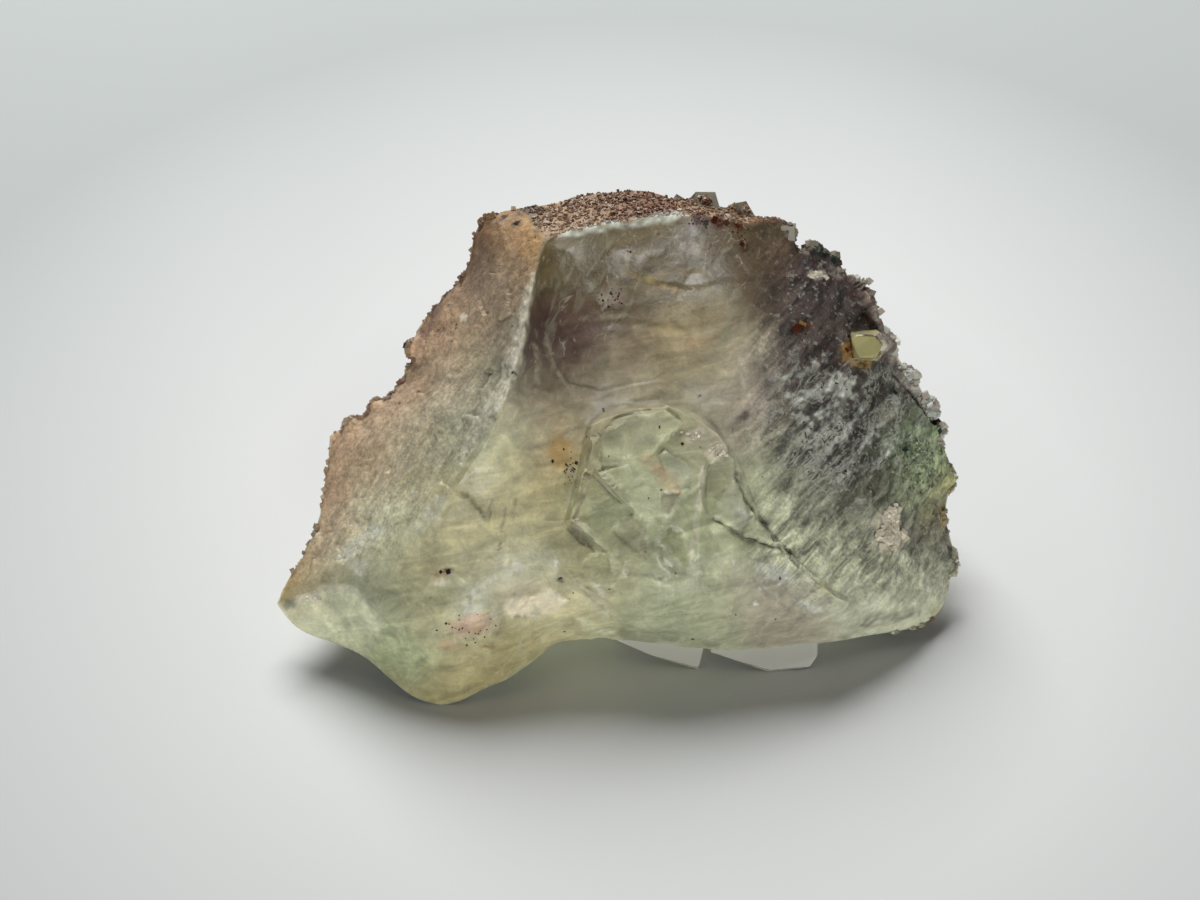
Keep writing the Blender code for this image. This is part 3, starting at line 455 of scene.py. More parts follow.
# Dark specks on the skin: across, up, size in millimetres, colour
SPECKS = [
    (-0.9, 48.5, 0.5, "rust"), (0.1, 48.4, 0.35, "ink"), (-0.9, 46.8, 0.3, "rust"),
    (-1.6, 47.6, 0.3, "rust"), (-12.4, 39.0, 0.4, "ink"), (-3.6, 31.5, 0.3, "ink"),
    (-4.8, 28.5, 0.4, "ink"), (-5.0, 27.8, 0.3, "ink"), (-7.6, 28.7, 0.3, "ink"),
    (-6.3, 30.1, 0.25, "ink"), (-1.6, 34.6, 0.5, "rust"), (5.0, 32.6, 0.25, "ink"),
    (-0.9, 29.2, 0.2, "ink"), (7.6, 30.5, 0.35, "rust"), (5.1, 25.4, 0.2, "ink"),
    (9.5, 36.4, 0.4, "peat"), (-6.8, 14.9, 0.5, "ink"), (-6.2, 8.6, 0.35, "peat"),
    (-1.0, 13.4, 0.2, "ink"), (8.8, 7.8, 0.3, "peat"), (18.6, 10.2, 0.25, "peat"),
    (19.1, 14.9, 0.3, "pine"), (-19.9, 15.8, 0.6, "ink"), (-20.9, 15.6, 0.35, "rust"),
    (21.0, 44.2, 0.9, "rust"), (21.9, 44.8, 0.7, "ochre"), (20.6, 43.9, 0.5, "ink"),
    (21.6, 44.3, 0.4, "ink"), (27.2, 43.4, 0.5, "ink"), (27.0, 41.8, 0.5, "rust"),
    (9.3, 57.0, 0.9, "rust"), (10.3, 56.8, 0.6, "ink"), (11.4, 57.0, 0.8, "rust"),
    (12.7, 56.6, 0.6, "rust"), (14.6, 54.2, 0.5, "rust"), (14.9, 53.6, 0.4, "rust"),
    (1.4, 53.8, 0.5, "rust"), (13.9, 56.4, 0.5, "rust"),
    (37.6, 33.0, 1.1, "pine"), (37.9, 32.3, 0.8, "pine"), (24.2, 53.6, 1.1, "pine"),
    (25.4, 52.4, 0.9, "pine"), (23.0, 53.2, 0.9, "ink"), (-13.5, 57.4, 0.8, "slate"),
    (-11.9, 56.7, 0.7, "ink"), (33.8, 30.0, 0.8, "pine"), (32.6, 36.8, 0.5, "pine"),
]
# Clouds of tiny specks: across, up, half length, half width, how many, colour
SPECK_CLOUDS = [
    (9.8, 57.0, 1.3, 0.7, 34, "rust"), (12.0, 56.8, 1.0, 0.6, 22, "rust"),
    (14.4, 55.6, 1.2, 0.8, 16, "rust"), (1.0, 53.6, 1.4, 0.5, 10, "rust"),
    (-0.6, 48.0, 1.4, 1.4, 16, "rust"), (-5.6, 27.6, 0.9, 2.0, 22, "peat"),
    (-17.6, 8.6, 3.0, 1.6, 22, "rust"), (21.4, 44.4, 1.0, 0.6, 20, "rust"),
    (27.6, 41.0, 1.2, 1.3, 22, "ochre"), (-9.4, 58.0, 3.0, 0.6, 16, "ink"),
    (24.0, 42.0, 4.0, 6.0, 40, "ink"), (26.0, 31.0, 6.0, 5.0, 50, "pine"),
    (-21.0, 44.0, 2.4, 3.0, 16, "plum"), (10.0, 20.0, 14.0, 8.0, 8, "peat"),
]
# Chalky nodules: across, up, half length, half width, how many grains, their size
NODULES = [
    (31.9, 19.8, 1.2, 1.2, 70, 0.8), (32.2, 22.3, 1.0, 1.1, 50, 0.7),
    (11.8, 29.8, 1.3, 0.8, 26, 0.4), (8.8, 31.8, 1.2, 0.6, 16, 0.35), (23.6, 50.6, 1.2, 0.5, 18, 0.4),
    (22.6, 12.0, 1.6, 0.5, 10, 0.25), (-36.0, 12.6, 1.6, 0.4, 14, 0.35),
]


def linear(hex_colour):
    """An sRGB hex colour as linear red, green and blue."""
    parts = [int(hex_colour[i:i + 2], 16) / 255 for i in (1, 3, 5)]
    return tuple(c / 12.92 if c <= 0.04045 else ((c + 0.055) / 1.055) ** 2.4 for c in parts)


def colour_property(name, hex_colour, description):
    """A colour setting, given as sRGB hex."""
    return FloatVectorProperty(
        name=name, description=description, subtype="COLOR", size=3, min=0.0, max=1.0,
        default=linear(hex_colour),
    )


def length_property(name, millimetres, description):
    """A length setting, given in millimetres."""
    return FloatProperty(
        name=name, description=description, default=millimetres * MM, min=0.0, unit="LENGTH",
        subtype="DISTANCE", precision=5,
    )


class FluoritePalette(bpy.types.PropertyGroup):
    """Colours of the stone, its stains and its crust."""

    sage: colour_property("Sage", "#9B9E7D", "Pale green of the fresh cleavage")
    pale: colour_property("Pale", "#BDBFA2", "Lighter green along thin edges")
    sedge: colour_property("Sedge", "#8F937A", "Grey green of the low front")
    leaf: colour_property("Leaf", "#9AA27E", "Clearest green, by the foot")
    straw: colour_property("Straw", "#B0AA86", "Yellow green of the smooth break")
    reed: colour_property("Reed", "#918963", "Yellow of the foot's thin edge")
    honey: colour_property("Honey", "#B4A072", "Yellow stain under the surface")
    ochre: colour_property("Ochre", "#AB8548", "Iron stain, yellow")
    rust: colour_property("Rust", "#4C2006", "Iron stain, red brown")
    tan: colour_property("Tan", "#B9A080", "Skin of the left facet")
    clay: colour_property("Clay", "#AE8D72", "Pink brown of the left rim")
    umber: colour_property("Umber", "#86644A", "Dark brown skin")
    sand: colour_property("Sand", "#B2A68B", "Pale skin")
    cream: colour_property("Cream", "#DDD3BC", "Chalky nodules")
    mauve: colour_property("Mauve", "#76503C", "Crust of the crest")
    fog: colour_property("Fog", "#A09B85", "Grey of the grainy facet")
    fawn: colour_property("Fawn", "#A89F88", "Warm grey threads")
    ash: colour_property("Ash", "#8D8776", "Warm grey")
    putty: colour_property("Putty", "#A3A48F", "Grey green of the right side")
    olive: colour_property("Olive", "#665A3C", "Smoky green under the crest")
    moss: colour_property("Moss", "#80845F", "Deeper green of the clearest planes")
    khaki: colour_property("Khaki", "#9C9264", "Smoky yellow")
    smoke: colour_property("Smoke", "#645640", "Smoky brown")
    plum: colour_property("Plum", "#5C4641", "Violet zone")
    lilac: colour_property("Lilac", "#A3978A", "Faint violet")
    slate: colour_property("Slate", "#4C4741", "Blue grey")
    peat: colour_property("Peat", "#4E493A", "Dark brown grey")
    bottle: colour_property("Bottle", "#5B6150", "Dark green grey")
    fern: colour_property("Fern", "#A2B388", "Green grains")
    pine: colour_property("Pine", "#1F3328", "Darkest green crystals")
    ink: colour_property("Ink", "#352E2F", "Darkest violet")
    lace: colour_property("Lace", "#D2D3C2", "Pale lace of the right flank")
    ice: colour_property("Ice", "#C3C6BA", "Blue white flaws")
    bone: colour_property("Bone", "#C9C4B2", "White veins")
    corner_frost: colour_property("Corner frost", "#FAF9EC", "Faces of the clear corners")
    corner_depth: colour_property("Corner depth", "#EFECEF", "What thick clear corners let through")
    yellow_frost: colour_property("Yellow frost", "#E2DA9E", "Faces of the yellow crystal")
    yellow_depth: colour_property("Yellow depth", "#E7DFAA", "What the thick yellow crystal lets through")


class FluoriteSkin(bpy.types.PropertyGroup):
    """How fine and how rough the lump's skin is."""

    near_edge: length_property("Near edge", 0.49, "Longest mesh edge on the broken side")
    far_edge: length_property("Far edge", 1.2, "Longest mesh edge on the far side")
    grain_height: length_property("Grain height", 0.13, "Height of the grains on rough skin")
    fibre_height: length_property("Fibre height", 0.2, "Height of the ribs on the left facet")
    facet_height: length_property("Facet height", 0.5, "Height of the small broken facets")
    ripple_height: length_property("Ripple height", 0.015, "Height of ripples on glassy breaks")
    groove_depth: length_property("Groove depth", 0.35, "Depth of open cracks")
    glow_depth: length_property("Glow depth", 1.0, "How far light spreads inside the stone")


class FluoriteCrust(bpy.types.PropertyGroup):
    """The small crystals along the edges and over the far side."""

    crest_grains: IntProperty(name="Crest grains", description="Grains on the crest", default=2400)
    edge_grains: IntProperty(name="Edge grains", description="Grains on the right edge", default=1500)
    rim_grains: IntProperty(name="Rim grains", description="Grains on the left rim", default=1100)
    far_grains: IntProperty(name="Far grains", description="Crystals on the far side", default=1600)
    small_grain: length_property("Small grain", 0.22, "Edge of the smallest grains")
    large_grain: length_property("Large grain", 0.8, "Edge of the largest grains")


class FluoriteStage(bpy.types.PropertyGroup):
    """The floor and the lights."""

    # The floor's painted light: its colour near the stone, and the painted shade it fades to far away
    floor: colour_property("Floor", "#EEF0EE", "Colour of the floor near the stone")
    floor_painted_shade: colour_property("Far floor", "#C4CAC7", "Colour of the floor far from the stone")
    key_power: FloatProperty(name="Key power", description="Main softbox", default=6.8, unit="POWER")
    fill_power: FloatProperty(name="Fill power", description="Front fill", default=4.3, unit="POWER")
    room: colour_property("Room", "#F3EDFF", "Colour of the room's even light")
    sky: FloatProperty(name="Sky", description="Strength of the room's even light", default=0.0504)


# The drawing


def to_lump(co):
    """Metres in the row's frame to millimetres from the foot's tip."""
    return np.asarray(co) / MM + np.array(ROW_CENTRE)


def to_row(co):
    """Millimetres from the foot's tip to metres in the row's frame."""
    return (np.asarray(co) - np.array(ROW_CENTRE)) * MM


def drawn(co):
    """Where the eye sees points on the drawing: across, up and how far in front of it they lie."""
    high = co[:, 1] * TILT_SIN + co[:, 2] * TILT_COS
    near = co[:, 2] * TILT_SIN - co[:, 1] * TILT_COS
    shrink = EYE_DISTANCE / (EYE_DISTANCE - near)
    across = EYE_ACROSS + (co[:, 0] - EYE_ACROSS) * shrink
    return np.stack([across, EYE_UP + (high - EYE_UP) * shrink, near], axis=1)


def seen(across, up, toward):
    """The point that lies `toward` in front of the drawing where the eye sees (across, up)."""
    sheet = Vector((across, up, 0.0))
    right, high, near = sheet.lerp(Vector((EYE_ACROSS, EYE_UP, EYE_DISTANCE)), toward / EYE_DISTANCE)
    return Vector((right, high * TILT_SIN - near * TILT_COS, high * TILT_COS + near * TILT_SIN))


def eye_place():
    """Where the eye is, in millimetres from the foot's tip."""
    return seen(EYE_ACROSS, EYE_UP, EYE_DISTANCE)


def ramp(value, low, high):
    """Rises smoothly from 0 at low to 1 at high."""
    share = np.clip((value - low) / (high - low), 0.0, 1.0)
    return share * share * (3 - 2 * share)


def hum(co, size, shift=0.0):
    """Soft noise from -1 to 1 with features of this size."""
    return np.array([noise.noise(Vector(p)) for p in np.asarray(co) / size + shift])


def line_distance(spots, line):
    """The distance from each spot to a line through points, and the share of its length there."""
    line = np.array(line, float)
    lengths = np.linalg.norm(np.diff(line, axis=0), axis=1)
    starts = np.concatenate([[0.0], np.cumsum(lengths)])
    best = np.full(len(spots), np.inf)
    share = np.zeros(len(spots))
    for a, b, length, start in zip(line, line[1:], lengths, starts):
        t = np.clip(((spots - a) @ (b - a)) / length ** 2, 0.0, 1.0)
        away = np.linalg.norm(spots - a - t[:, None] * (b - a), axis=1)
        closer = away < best
        best[closer] = away[closer]
        share[closer] = (start + t[closer] * length) / starts[-1]
    return best, share


def within(spots, ring):
    """How far each spot is inside a closed outline; negative outside."""
    ring = np.array(ring, float)
    inside = np.zeros(len(spots), bool)
    for a, b in zip(ring, np.roll(ring, -1, axis=0)):
        spans = (a[1] > spots[:, 1]) != (b[1] > spots[:, 1])
        rise = b[1] - a[1] if b[1] != a[1] else 1.0
        inside ^= spans & (spots[:, 0] < a[0] + (spots[:, 1] - a[1]) / rise * (b[0] - a[0]))
    away, _ = line_distance(spots, list(ring) + [ring[0]])
    return np.where(inside, away, -away)


def swirled(co, spots, wander):
    """Spots of the drawing moved by noise, so that painted borders wander as natural ones do."""
    reach, size, shift = WANDER[wander]
    shifts = [hum(co, size, shift), hum(co, size, shift + 31.0)]
    return spots + reach * np.stack(shifts, axis=1)


# The lump


def cut_fine(points, faces, kinds, longest):
    """Halves long edges until none is over its kind's longest; all cuts start at an edge's middle."""
    while True:
        ends = np.sort(faces[:, [[0, 1], [1, 2], [2, 0]]], axis=2)
        keys = ends[..., 0] * len(points) + ends[..., 1]
        lengths = np.linalg.norm(points[ends[..., 0]] - points[ends[..., 1]], axis=2)
        too_long = lengths.max(axis=1) > longest[kinds]
        if not too_long.any():
            return points, faces, kinds
        rows = np.arange(len(faces))
        cut_keys = np.unique(keys[rows, lengths.argmax(axis=1)][too_long])
        is_cut = np.isin(keys, cut_keys)
        middles = len(points) + np.searchsorted(cut_keys, keys)
        low, high = np.divmod(cut_keys, len(points))
        count = is_cut.sum(axis=1)
        first = np.where(count == 1, is_cut.argmax(axis=1), 0)
        first = np.where(count == 2, (is_cut.argmin(axis=1) + 1) % 3, first)
        a, b, c = (faces[rows, (first + k) % 3] for k in range(3))
        ab, bc, ca = (middles[rows, (first + k) % 3] for k in range(3))
        points = np.concatenate([points, (points[low] + points[high]) / 2])
        pieces = {
            0: [(a, b, c)],
            1: [(a, ab, c), (ab, b, c)],
            2: [(a, ab, bc), (ab, b, bc), (a, bc, c)],
            3: [(a, ab, ca), (ab, b, bc), (ca, bc, c), (ab, bc, ca)],
        }
        parts = []
        part_kinds = []
        for cuts, triangles in pieces.items():
            chosen = count == cuts
            for triangle in triangles:
                parts.append(np.stack(triangle, axis=1)[chosen])
                part_kinds.append(kinds[chosen])
        faces = np.concatenate(parts)
        kinds = np.concatenate(part_kinds)


def sort_faces(mesh):
    """Tells flat crystals and the rest face from the broken side and the grown side."""
    eye = eye_place()
    for face in mesh.faces:
        away = face.normal.dot(eye - face.calc_center_median())
        face.material_index = BROKEN if away > 0 else GROWN
    for edge in mesh.edges:
        if len(edge.link_faces) == 2 and edge.calc_face_angle(1.0) < FLAT_ANGLE:
            low = max(v.co.z for v in edge.verts) < FOOT_HEIGHT
            for face in edge.link_faces:
                if low or face.normal.dot(eye - face.calc_center_median()) < 0:
                    face.material_index = CRYSTAL


def scratch_object(mesh):
    """Makes a passing object of a mesh, to cut with."""
    data = bpy.data.meshes.new("scratch")
    mesh.to_mesh(data)
    mesh.free()
    obj = bpy.data.objects.new("scratch", data)
    bpy.context.scene.collection.objects.link(obj)
    return obj


def clear_bodies(scale=1.0):
    """The clear corners and the yellow crystal, each as the hull of its corners."""
    for shown, behind in CLEAVAGE_CORNERS:
        front = [seen(*p) for p in shown]
        for point in front:
            point.z = max(point.z, TABLE_GAP)
        yield hull(front + [Vector(p) for p in behind], scale)
    yield hull([seen(*p) for p in YELLOW_CRYSTAL], scale)


def hull(corners, scale):
    """The convex body around these corners, scaled about its middle."""
    middle = sum(corners, Vector()) / len(corners)
    mesh = bmesh.new()
    for corner in corners:
        mesh.verts.new(middle + (corner - middle) * scale)
    found = bmesh.ops.convex_hull(mesh, input=mesh.verts)
    unused = set(found["geom_interior"] + found["geom_unused"])
    bmesh.ops.delete(mesh, geom=[v for v in unused if isinstance(v, bmesh.types.BMVert)], context="VERTS")
    bmesh.ops.recalc_face_normals(mesh, faces=mesh.faces)
    return mesh


def with_room(mesh):
    """Cuts room for the clear pieces into the cloudy stone."""
    solid = scratch_object(mesh)
    cutters = [scratch_object(body) for body in clear_bodies(ROOM_SCALE)]
    for cutter in cutters:
        cut = solid.modifiers.new("room", "BOOLEAN")
        cut.operation = "DIFFERENCE"
        cut.solver = "EXACT"
        cut.object = cutter
    graph = bpy.context.evaluated_depsgraph_get()
    cut_mesh = bmesh.new()
    cut_mesh.from_mesh(solid.evaluated_get(graph).to_mesh())
    for obj in [solid, *cutters]:
        bpy.data.objects.remove(obj)
    return cut_mesh


def packed_mesh():
    """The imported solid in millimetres: its points, its triangles and each triangle's kind."""
    mesh = bmesh.new()
    mesh.from_mesh(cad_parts[NODE].data)
    for vert in mesh.verts:
        vert.co = vert.co / MM + ROW_CENTRE
    bmesh.ops.remove_doubles(mesh, verts=mesh.verts, dist=WELD)
    mesh = with_room(mesh)
    wear_scar(mesh)
    bmesh.ops.triangulate(mesh, faces=mesh.faces)
    mesh.normal_update()
    sort_faces(mesh)
    middles = np.array([face.calc_center_median() for face in mesh.faces])
    for face, melted in zip(mesh.faces, on_outline_cubes(middles)):
        if melted:
            face.material_index = BROKEN
    mesh.verts.index_update()
    points = np.array([v.co[:] for v in mesh.verts])
    faces = np.array([[v.index for v in f.verts] for f in mesh.faces])
    kinds = np.array([f.material_index for f in mesh.faces])
    mesh.free()
    return points, faces, kinds


def wear_scar(mesh):
    """Wears down the edges of the bruise on the low front."""
    mesh.normal_update()
    places = drawn(np.array([vert.co for vert in mesh.verts]))[:, :2]
    close = np.linalg.norm(places - SCAR, axis=1) < SCAR_REACH
    eye = eye_place()
    worn = [v for v, near in zip(mesh.verts, close) if near and v.normal.dot(eye - v.co) > 0]
    for _ in range(SCAR_ROUNDS):
        bmesh.ops.smooth_vert(
            mesh, verts=worn, factor=0.5, use_axis_x=True, use_axis_y=True, use_axis_z=True
        )


def face_normals(points, faces):
    """Each triangle's unit normal."""
    a, b, c = (points[faces[:, k]] for k in range(3))
    normals = np.cross(b - a, c - a)
    return normals / np.maximum(np.linalg.norm(normals, axis=1, keepdims=True), 1e-9)


def point_normals(points, faces):
    """Each point's unit normal, weighted by the triangles' areas."""
    a, b, c = (points[faces[:, k]] for k in range(3))
    normals = gathered(np.cross(b - a, c - a), faces, len(points))
    return normals / np.maximum(np.linalg.norm(normals, axis=1, keepdims=True), 1e-9)


def gathered(values, faces, total):
    """Adds up the faces' values at their points."""
    sums = np.zeros((total, 3))
    for corner in range(3):
        for axis in range(3):
            sums[:, axis] += np.bincount(faces[:, corner], values[:, axis], total)
    return sums


def edge_list(points, faces):
    """Each edge's two ends, and whether the mesh bends sharply there."""
    ends = np.sort(faces[:, [[0, 1], [1, 2], [2, 0]]], axis=2).reshape(-1, 2)
    owner = np.repeat(np.arange(len(faces)), 3)
    order = np.lexsort((ends[:, 1], ends[:, 0]))
    ends, owner = ends[order], owner[order]
    pair = (ends[1:] == ends[:-1]).all(axis=1)
    normals = face_normals(points, faces)
    turn = np.einsum("ij,ij->i", normals[owner[:-1]], normals[owner[1:]])
    return ends[:-1][pair], turn[pair] < math.cos(SHARP_ANGLE)


def on_outline_cubes(points):
    """True for the points of the small cubes that the crust covers."""
    found = np.zeros(len(points), bool)
    for across, up, toward, edge in OUTLINE_CUBES:
        found |= np.linalg.norm(points - np.array(seen(across, up, toward)), axis=1) < edge
    return found


def smoothed(points, faces, kinds):
    """Rounds the coarse facets; sharp edges slide only along themselves, and crystals stay."""
    total = len(points)
    ends, sharp = edge_list(points, faces)
    melted = on_outline_cubes(points)
    away = np.linalg.norm(drawn(points)[:, :2] - SCAR, axis=1)
    melted |= away < SCAR_REACH
    sharp &= ~melted[ends].any(axis=1)
    sharp_count = np.bincount(ends[sharp].ravel(), minlength=total)
    crystal = (np.bincount(faces[kinds == CRYSTAL].ravel(), minlength=total) > 0) & ~melted
    held = crystal | (sharp_count == 1) | (sharp_count > 2)
    useful = sharp | (sharp_count[ends].max(axis=1) == 0) | (sharp_count[ends].min(axis=1) == 0)
    for _ in range(SMOOTHING_ROUNDS):
        sums = np.zeros((total, 3))
        weights = np.zeros(total)
        for here, there in ((0, 1), (1, 0)):
            start, end = ends[:, here], ends[:, there]
            counts = (useful & (sharp | (sharp_count[start] == 0))).astype(float)
            weights += np.bincount(start, counts, total)
            for axis in range(3):
                sums[:, axis] += np.bincount(start, counts * points[end, axis], total)
        mean = sums / np.maximum(weights, 1)[:, None]
        moves = np.where((held | (weights == 0))[:, None], 0.0, 0.5 * (mean - points))
        points = points + moves
    return points


class Skin:
    """Everything that is known about each point of the lump's skin."""

    def __init__(self, points, faces, crystal):
        self.co = points
        self.faces = faces
        self.normal = point_normals(points, faces)
        self.crystal = crystal
        self.sheet = drawn(self.co)
        self.spots = self.sheet[:, :2]
        to_eye = np.array(eye_place()) - self.co
        to_eye /= np.linalg.norm(to_eye, axis=1, keepdims=True)
        self.facing = np.einsum("ij,ij->i", self.normal, to_eye)
        self.near = ramp(self.facing, -0.15, 0.15) * ~self.crystal
        wandering = swirled(self.co, self.spots, "facets")
        fade = 0.5 + 5.0 * ramp(-self.spots[:, 1], -36.0, -18.0)
        self.left = ramp(within(wandering, LEFT_FACET) / fade, -0.6, 1.0) * self.near
        self.shelf = ramp(within(wandering, CREST_SHELF), -0.3, 0.3) * self.near
        self.tip = ramp(within(wandering, TIP_FACET), -0.3, 0.3) * self.near
        self.right = self.flank_share()
        lace_away = np.linalg.norm((self.spots - LACE_MIDDLE) / LACE_REACH, axis=1)
        self.lace = self.right * ramp(-lace_away, -1.35, -0.7)

    def flank_share(self):
        """How much a point belongs to the rough right flank."""
        across, up = self.spots.T
        border = 15.6 + 0.10 * np.abs(up - 34.0) + 2.0 * hum(self.co, 5.0, 7.0)
        low = ramp(up, 7.0, 19.0)
        return ramp(across, border - 4.0, border + 4.0) * low * self.near

    def roughness(self, left, right, shelf, all_over):
        """A roughness from 0 to 1, with a share for each region."""
        return np.clip(self.left * left + self.right * right + self.shelf * shelf + all_over, 0.0, 1.0)


def patch_colours(co, spots, patches, palette, reach=2.9):
    """The smooth blend of the soft patches at each spot."""
    warped = swirled(co, spots, "patches")
    warped = swirled(co, warped, "patch edges")
    total = np.zeros(len(co))
    blend = np.zeros((len(co), 3))
    for across, up, name in patches:
        away = ((warped - (across, up)) ** 2).sum(axis=1)
        weight = np.exp(-away / (2 * reach ** 2)) + 1e-5 / (1.0 + away)
        total += weight
        blend += weight[:, None] * np.array(palette[name])
    return blend / total[:, None]


def paint_planes(skin, colour, palette):
    """Paints the flat planes inside the clear green part."""
    spots = swirled(skin.co, skin.spots, "planes")
    for name, strength, ring in PLANES:
        mix(colour, palette[name], strength * ramp(within(spots, ring), -0.12, 0.16) * skin.near)


def paint_strokes(skin, colour, palette):
    """Paints veins and cracks, and painted highlights along the ridge and the cleavage steps, ragged on the
    right flank and broken up along their run.
    """
    ragged = swirled(skin.co, skin.spots, "strokes")
    flank = skin.right[:, None]
    ragged = swirled(skin.co, ragged, "ragged strokes") * flank + ragged * (1 - flank)
    patchy = hum(skin.co, 0.8, 41.0)
    for name, width, strength, points in STROKES:
        away, share = line_distance(ragged, points)
        taper = ramp(share, 0.0, 0.12) * ramp(1.0 - share, 0.0, 0.12) * 0.7 + 0.3
        half = abs(width) * taper
        cover = strength * ramp(-away, -half * 1.6, -half * 0.4) * np.clip(0.75 + 1.1 * patchy, 0, 1)
        mix(colour, palette[name], cover * skin.near)


def paint_blots(skin, colour, palette):
    """Paints stains, and a few painted highlights, with soft, wandering borders."""
    spots = swirled(skin.co, skin.spots, "blots")
    for name, across, up, long, short, degrees, strength in BLOTS:
        turn = math.radians(degrees)
        x, y = (spots - (across, up)).T
        along = (x * math.cos(turn) + y * math.sin(turn)) / long
        aside = (y * math.cos(turn) - x * math.sin(turn)) / short
        cover = strength * ramp(-np.hypot(along, aside), -1.35, -0.55)
        mix(colour, palette[name], cover * skin.near)


def mix(colour, other, cover):
    """Moves the colours toward another one, in place."""
    colour += cover[:, None] * (np.array(other) - colour)


def paint(skin):
    """The colour of every point, in linear light."""
    names = FluoritePalette.__annotations__
    palette = {name: tuple(getattr(bpy.context.scene.fluorite_palette, name)) for name in names}
    co, spots = skin.co, skin.spots
    colour = patch_colours(co, spots, CENTRE_PATCHES, palette)
    for patches, share in (
        (LEFT_PATCHES, skin.left), (SHELF_PATCHES, skin.shelf), (TIP_PATCHES, skin.tip),
        (GROWN_PATCHES, 1.0 - skin.near),
    ):
        colour += share[:, None] * (patch_colours(co, spots, patches, palette) - colour)
    paint_planes(skin, colour, palette)
    paint_strokes(skin, colour, palette)
    paint_blots(skin, colour, palette)
    return colour


def relief(skin):
    """How far each point moves along its normal, in millimetres."""
    look = bpy.context.scene.fluorite_skin
    co, sheet = skin.co, skin.sheet
    rough = skin.roughness(*RELIEF_ROUGHNESS)
    grain = hum(co, GRAIN_SIZE, 5.0) + 0.7 * hum(co, GRAIN_SIZE / 2, 15.0)
    fibres = hum(along_lines(sheet, FIBRE_ANGLE) / FIBRE_SIZE, 1.0, 25.0) * skin.left
    ribs = hum(along_lines(sheet, RIB_ANGLE) / RIB_SIZE, 1.0, 35.0) * skin.right
    ripples = np.sin(hum(co, RIPPLE_SIZE, 45.0) * RIPPLE_BEND + sheet[:, 1] * RIPPLE_PACE)
    damped = 1.0 - 0.4 * skin.right
    height = look.grain_height / MM * grain * rough * damped
    height += look.fibre_height / MM * (0.55 * fibres + 0.9 * ribs)
    height += look.ripple_height / MM * ripples * (1.0 - rough)
    height += look.facet_height / MM * small_facets(skin) * (0.12 + 0.88 * rough) * damped
    height += steps(skin) * (1.0 - 0.4 * rough) + plane_tilts(skin)
    return height - look.groove_depth / MM * grooves(skin)


def plane_tilts(skin):
    """How far each painted plane rises where it leans its own way."""
    draw = random.Random(PLANE_SEED)
    spots = swirled(skin.co, skin.spots, "planes")
    height = np.zeros(len(spots))
    for _, _, ring in PLANES:
        lean = np.array([draw.uniform(-1, 1), draw.uniform(-1, 1)]) * PLANE_LEAN
        offset = (skin.spots - np.mean(ring, axis=0)) @ lean
        height += ramp(within(spots, ring), -0.15, 0.2) * (offset + draw.uniform(-1, 1) * PLANE_RISE)
    return height


def steps(skin):
    """The rise and fall of the cleavage steps, each fading out to both sides."""
    spots = swirled(skin.co, skin.spots, "steps")
    height = np.zeros(len(spots))
    for rise, reach, points in STEPS:
        away, share = line_distance(spots, points)
        side = line_side(spots, points)
        ends = ramp(share, 0.0, 0.15) * ramp(1.0 - share, 0.0, 0.15)
        height += rise * ends * ramp(side, -0.2, 0.2) * np.exp(-away / reach) * (away < 3 * reach)
        height -= rise * ends * 0.5 * np.exp(-away / reach) * (away < 3 * reach)
    return height


def line_side(spots, line):
    """The distance to a line through points, positive on the right of its run."""
    line = np.array(line, float)
    best = np.full(len(spots), np.inf)
    signed = np.zeros(len(spots))
    for a, b in zip(line, line[1:]):
        run = (b - a) / np.linalg.norm(b - a)
        t = np.clip((spots - a) @ run, 0.0, np.linalg.norm(b - a))
        offset = spots - a - t[:, None] * run
        away = np.linalg.norm(offset, axis=1)
        closer = away < best
        cross = offset[:, 0] * run[1] - offset[:, 1] * run[0]
        signed[closer] = cross[closer]
        best[closer] = away[closer]
    return signed


def along_lines(sheet, degrees):
    """Drawing coordinates turned so that the first runs along lines at this angle."""
    turn = math.radians(degrees)
    across, up, toward = sheet.T
    along = across * math.cos(turn) + up * math.sin(turn)
    aside = up * math.cos(turn) - across * math.sin(turn)
    return np.stack([along, aside, toward], axis=1)


def small_facets(skin):
    """Flat chips with random tilts, as a crystal breaks along more than one plane."""
    heights = []
    for p in skin.co / FACET_SIZE:
        _, middles = noise.voronoi(Vector(p))
        middle = middles[0]
        tilt = noise.cell_vector(middle * 3.7) - Vector((0.5, 0.5, 0.5))
        heights.append((Vector(p) - middle).dot(tilt))
    return np.array(heights)


def grooves(skin):
    """How deep the open cracks are cut, from 0 to 1."""
    spots = swirled(skin.co, skin.spots, "grooves")
    depth = np.zeros(len(skin.co))
    for _, width, _, points in STROKES:
        if width < 0:
            away, _ = line_distance(spots, points)
            depth = np.maximum(depth, ramp(-away, width * 1.8, width * 0.2))
    return depth


def lump_data(skin):
    """The skin's points, moved by its relief, as a mesh."""
    push = relief(skin) * skin.near * ~skin.crystal * (skin.co[:, 2] > FOOT_HEIGHT)
    moved = skin.co + skin.normal * push[:, None]
    moved[:, 2] = np.maximum(moved[:, 2], 0.0)
    data = bpy.data.meshes.new("fluorite_lump")
    data.from_pydata(to_row(moved), [], skin.faces)
    data.shade_smooth()
    data.set_sharp_from_angle(angle=SHARP_ANGLE)
    return data


def store(data, name, values):
    """Keeps a number or a colour of each point in the mesh."""
    values = np.asarray(values, float)
    if values.ndim == 1:
        data.attributes.new(name, "FLOAT", "POINT").data.foreach_set("value", values)
        return
    opaque = np.concatenate([values, np.ones((len(values), 1))], axis=1)
    data.attributes.new(name, "FLOAT_COLOR", "POINT").data.foreach_set("color", opaque.ravel())


def link_object(name, data):
    """An object of the scene that rides the body."""
    obj = bpy.data.objects.new(name, data)
    bpy.context.scene.collection.objects.link(obj)
    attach(obj, BODY)
    return obj


# Materials


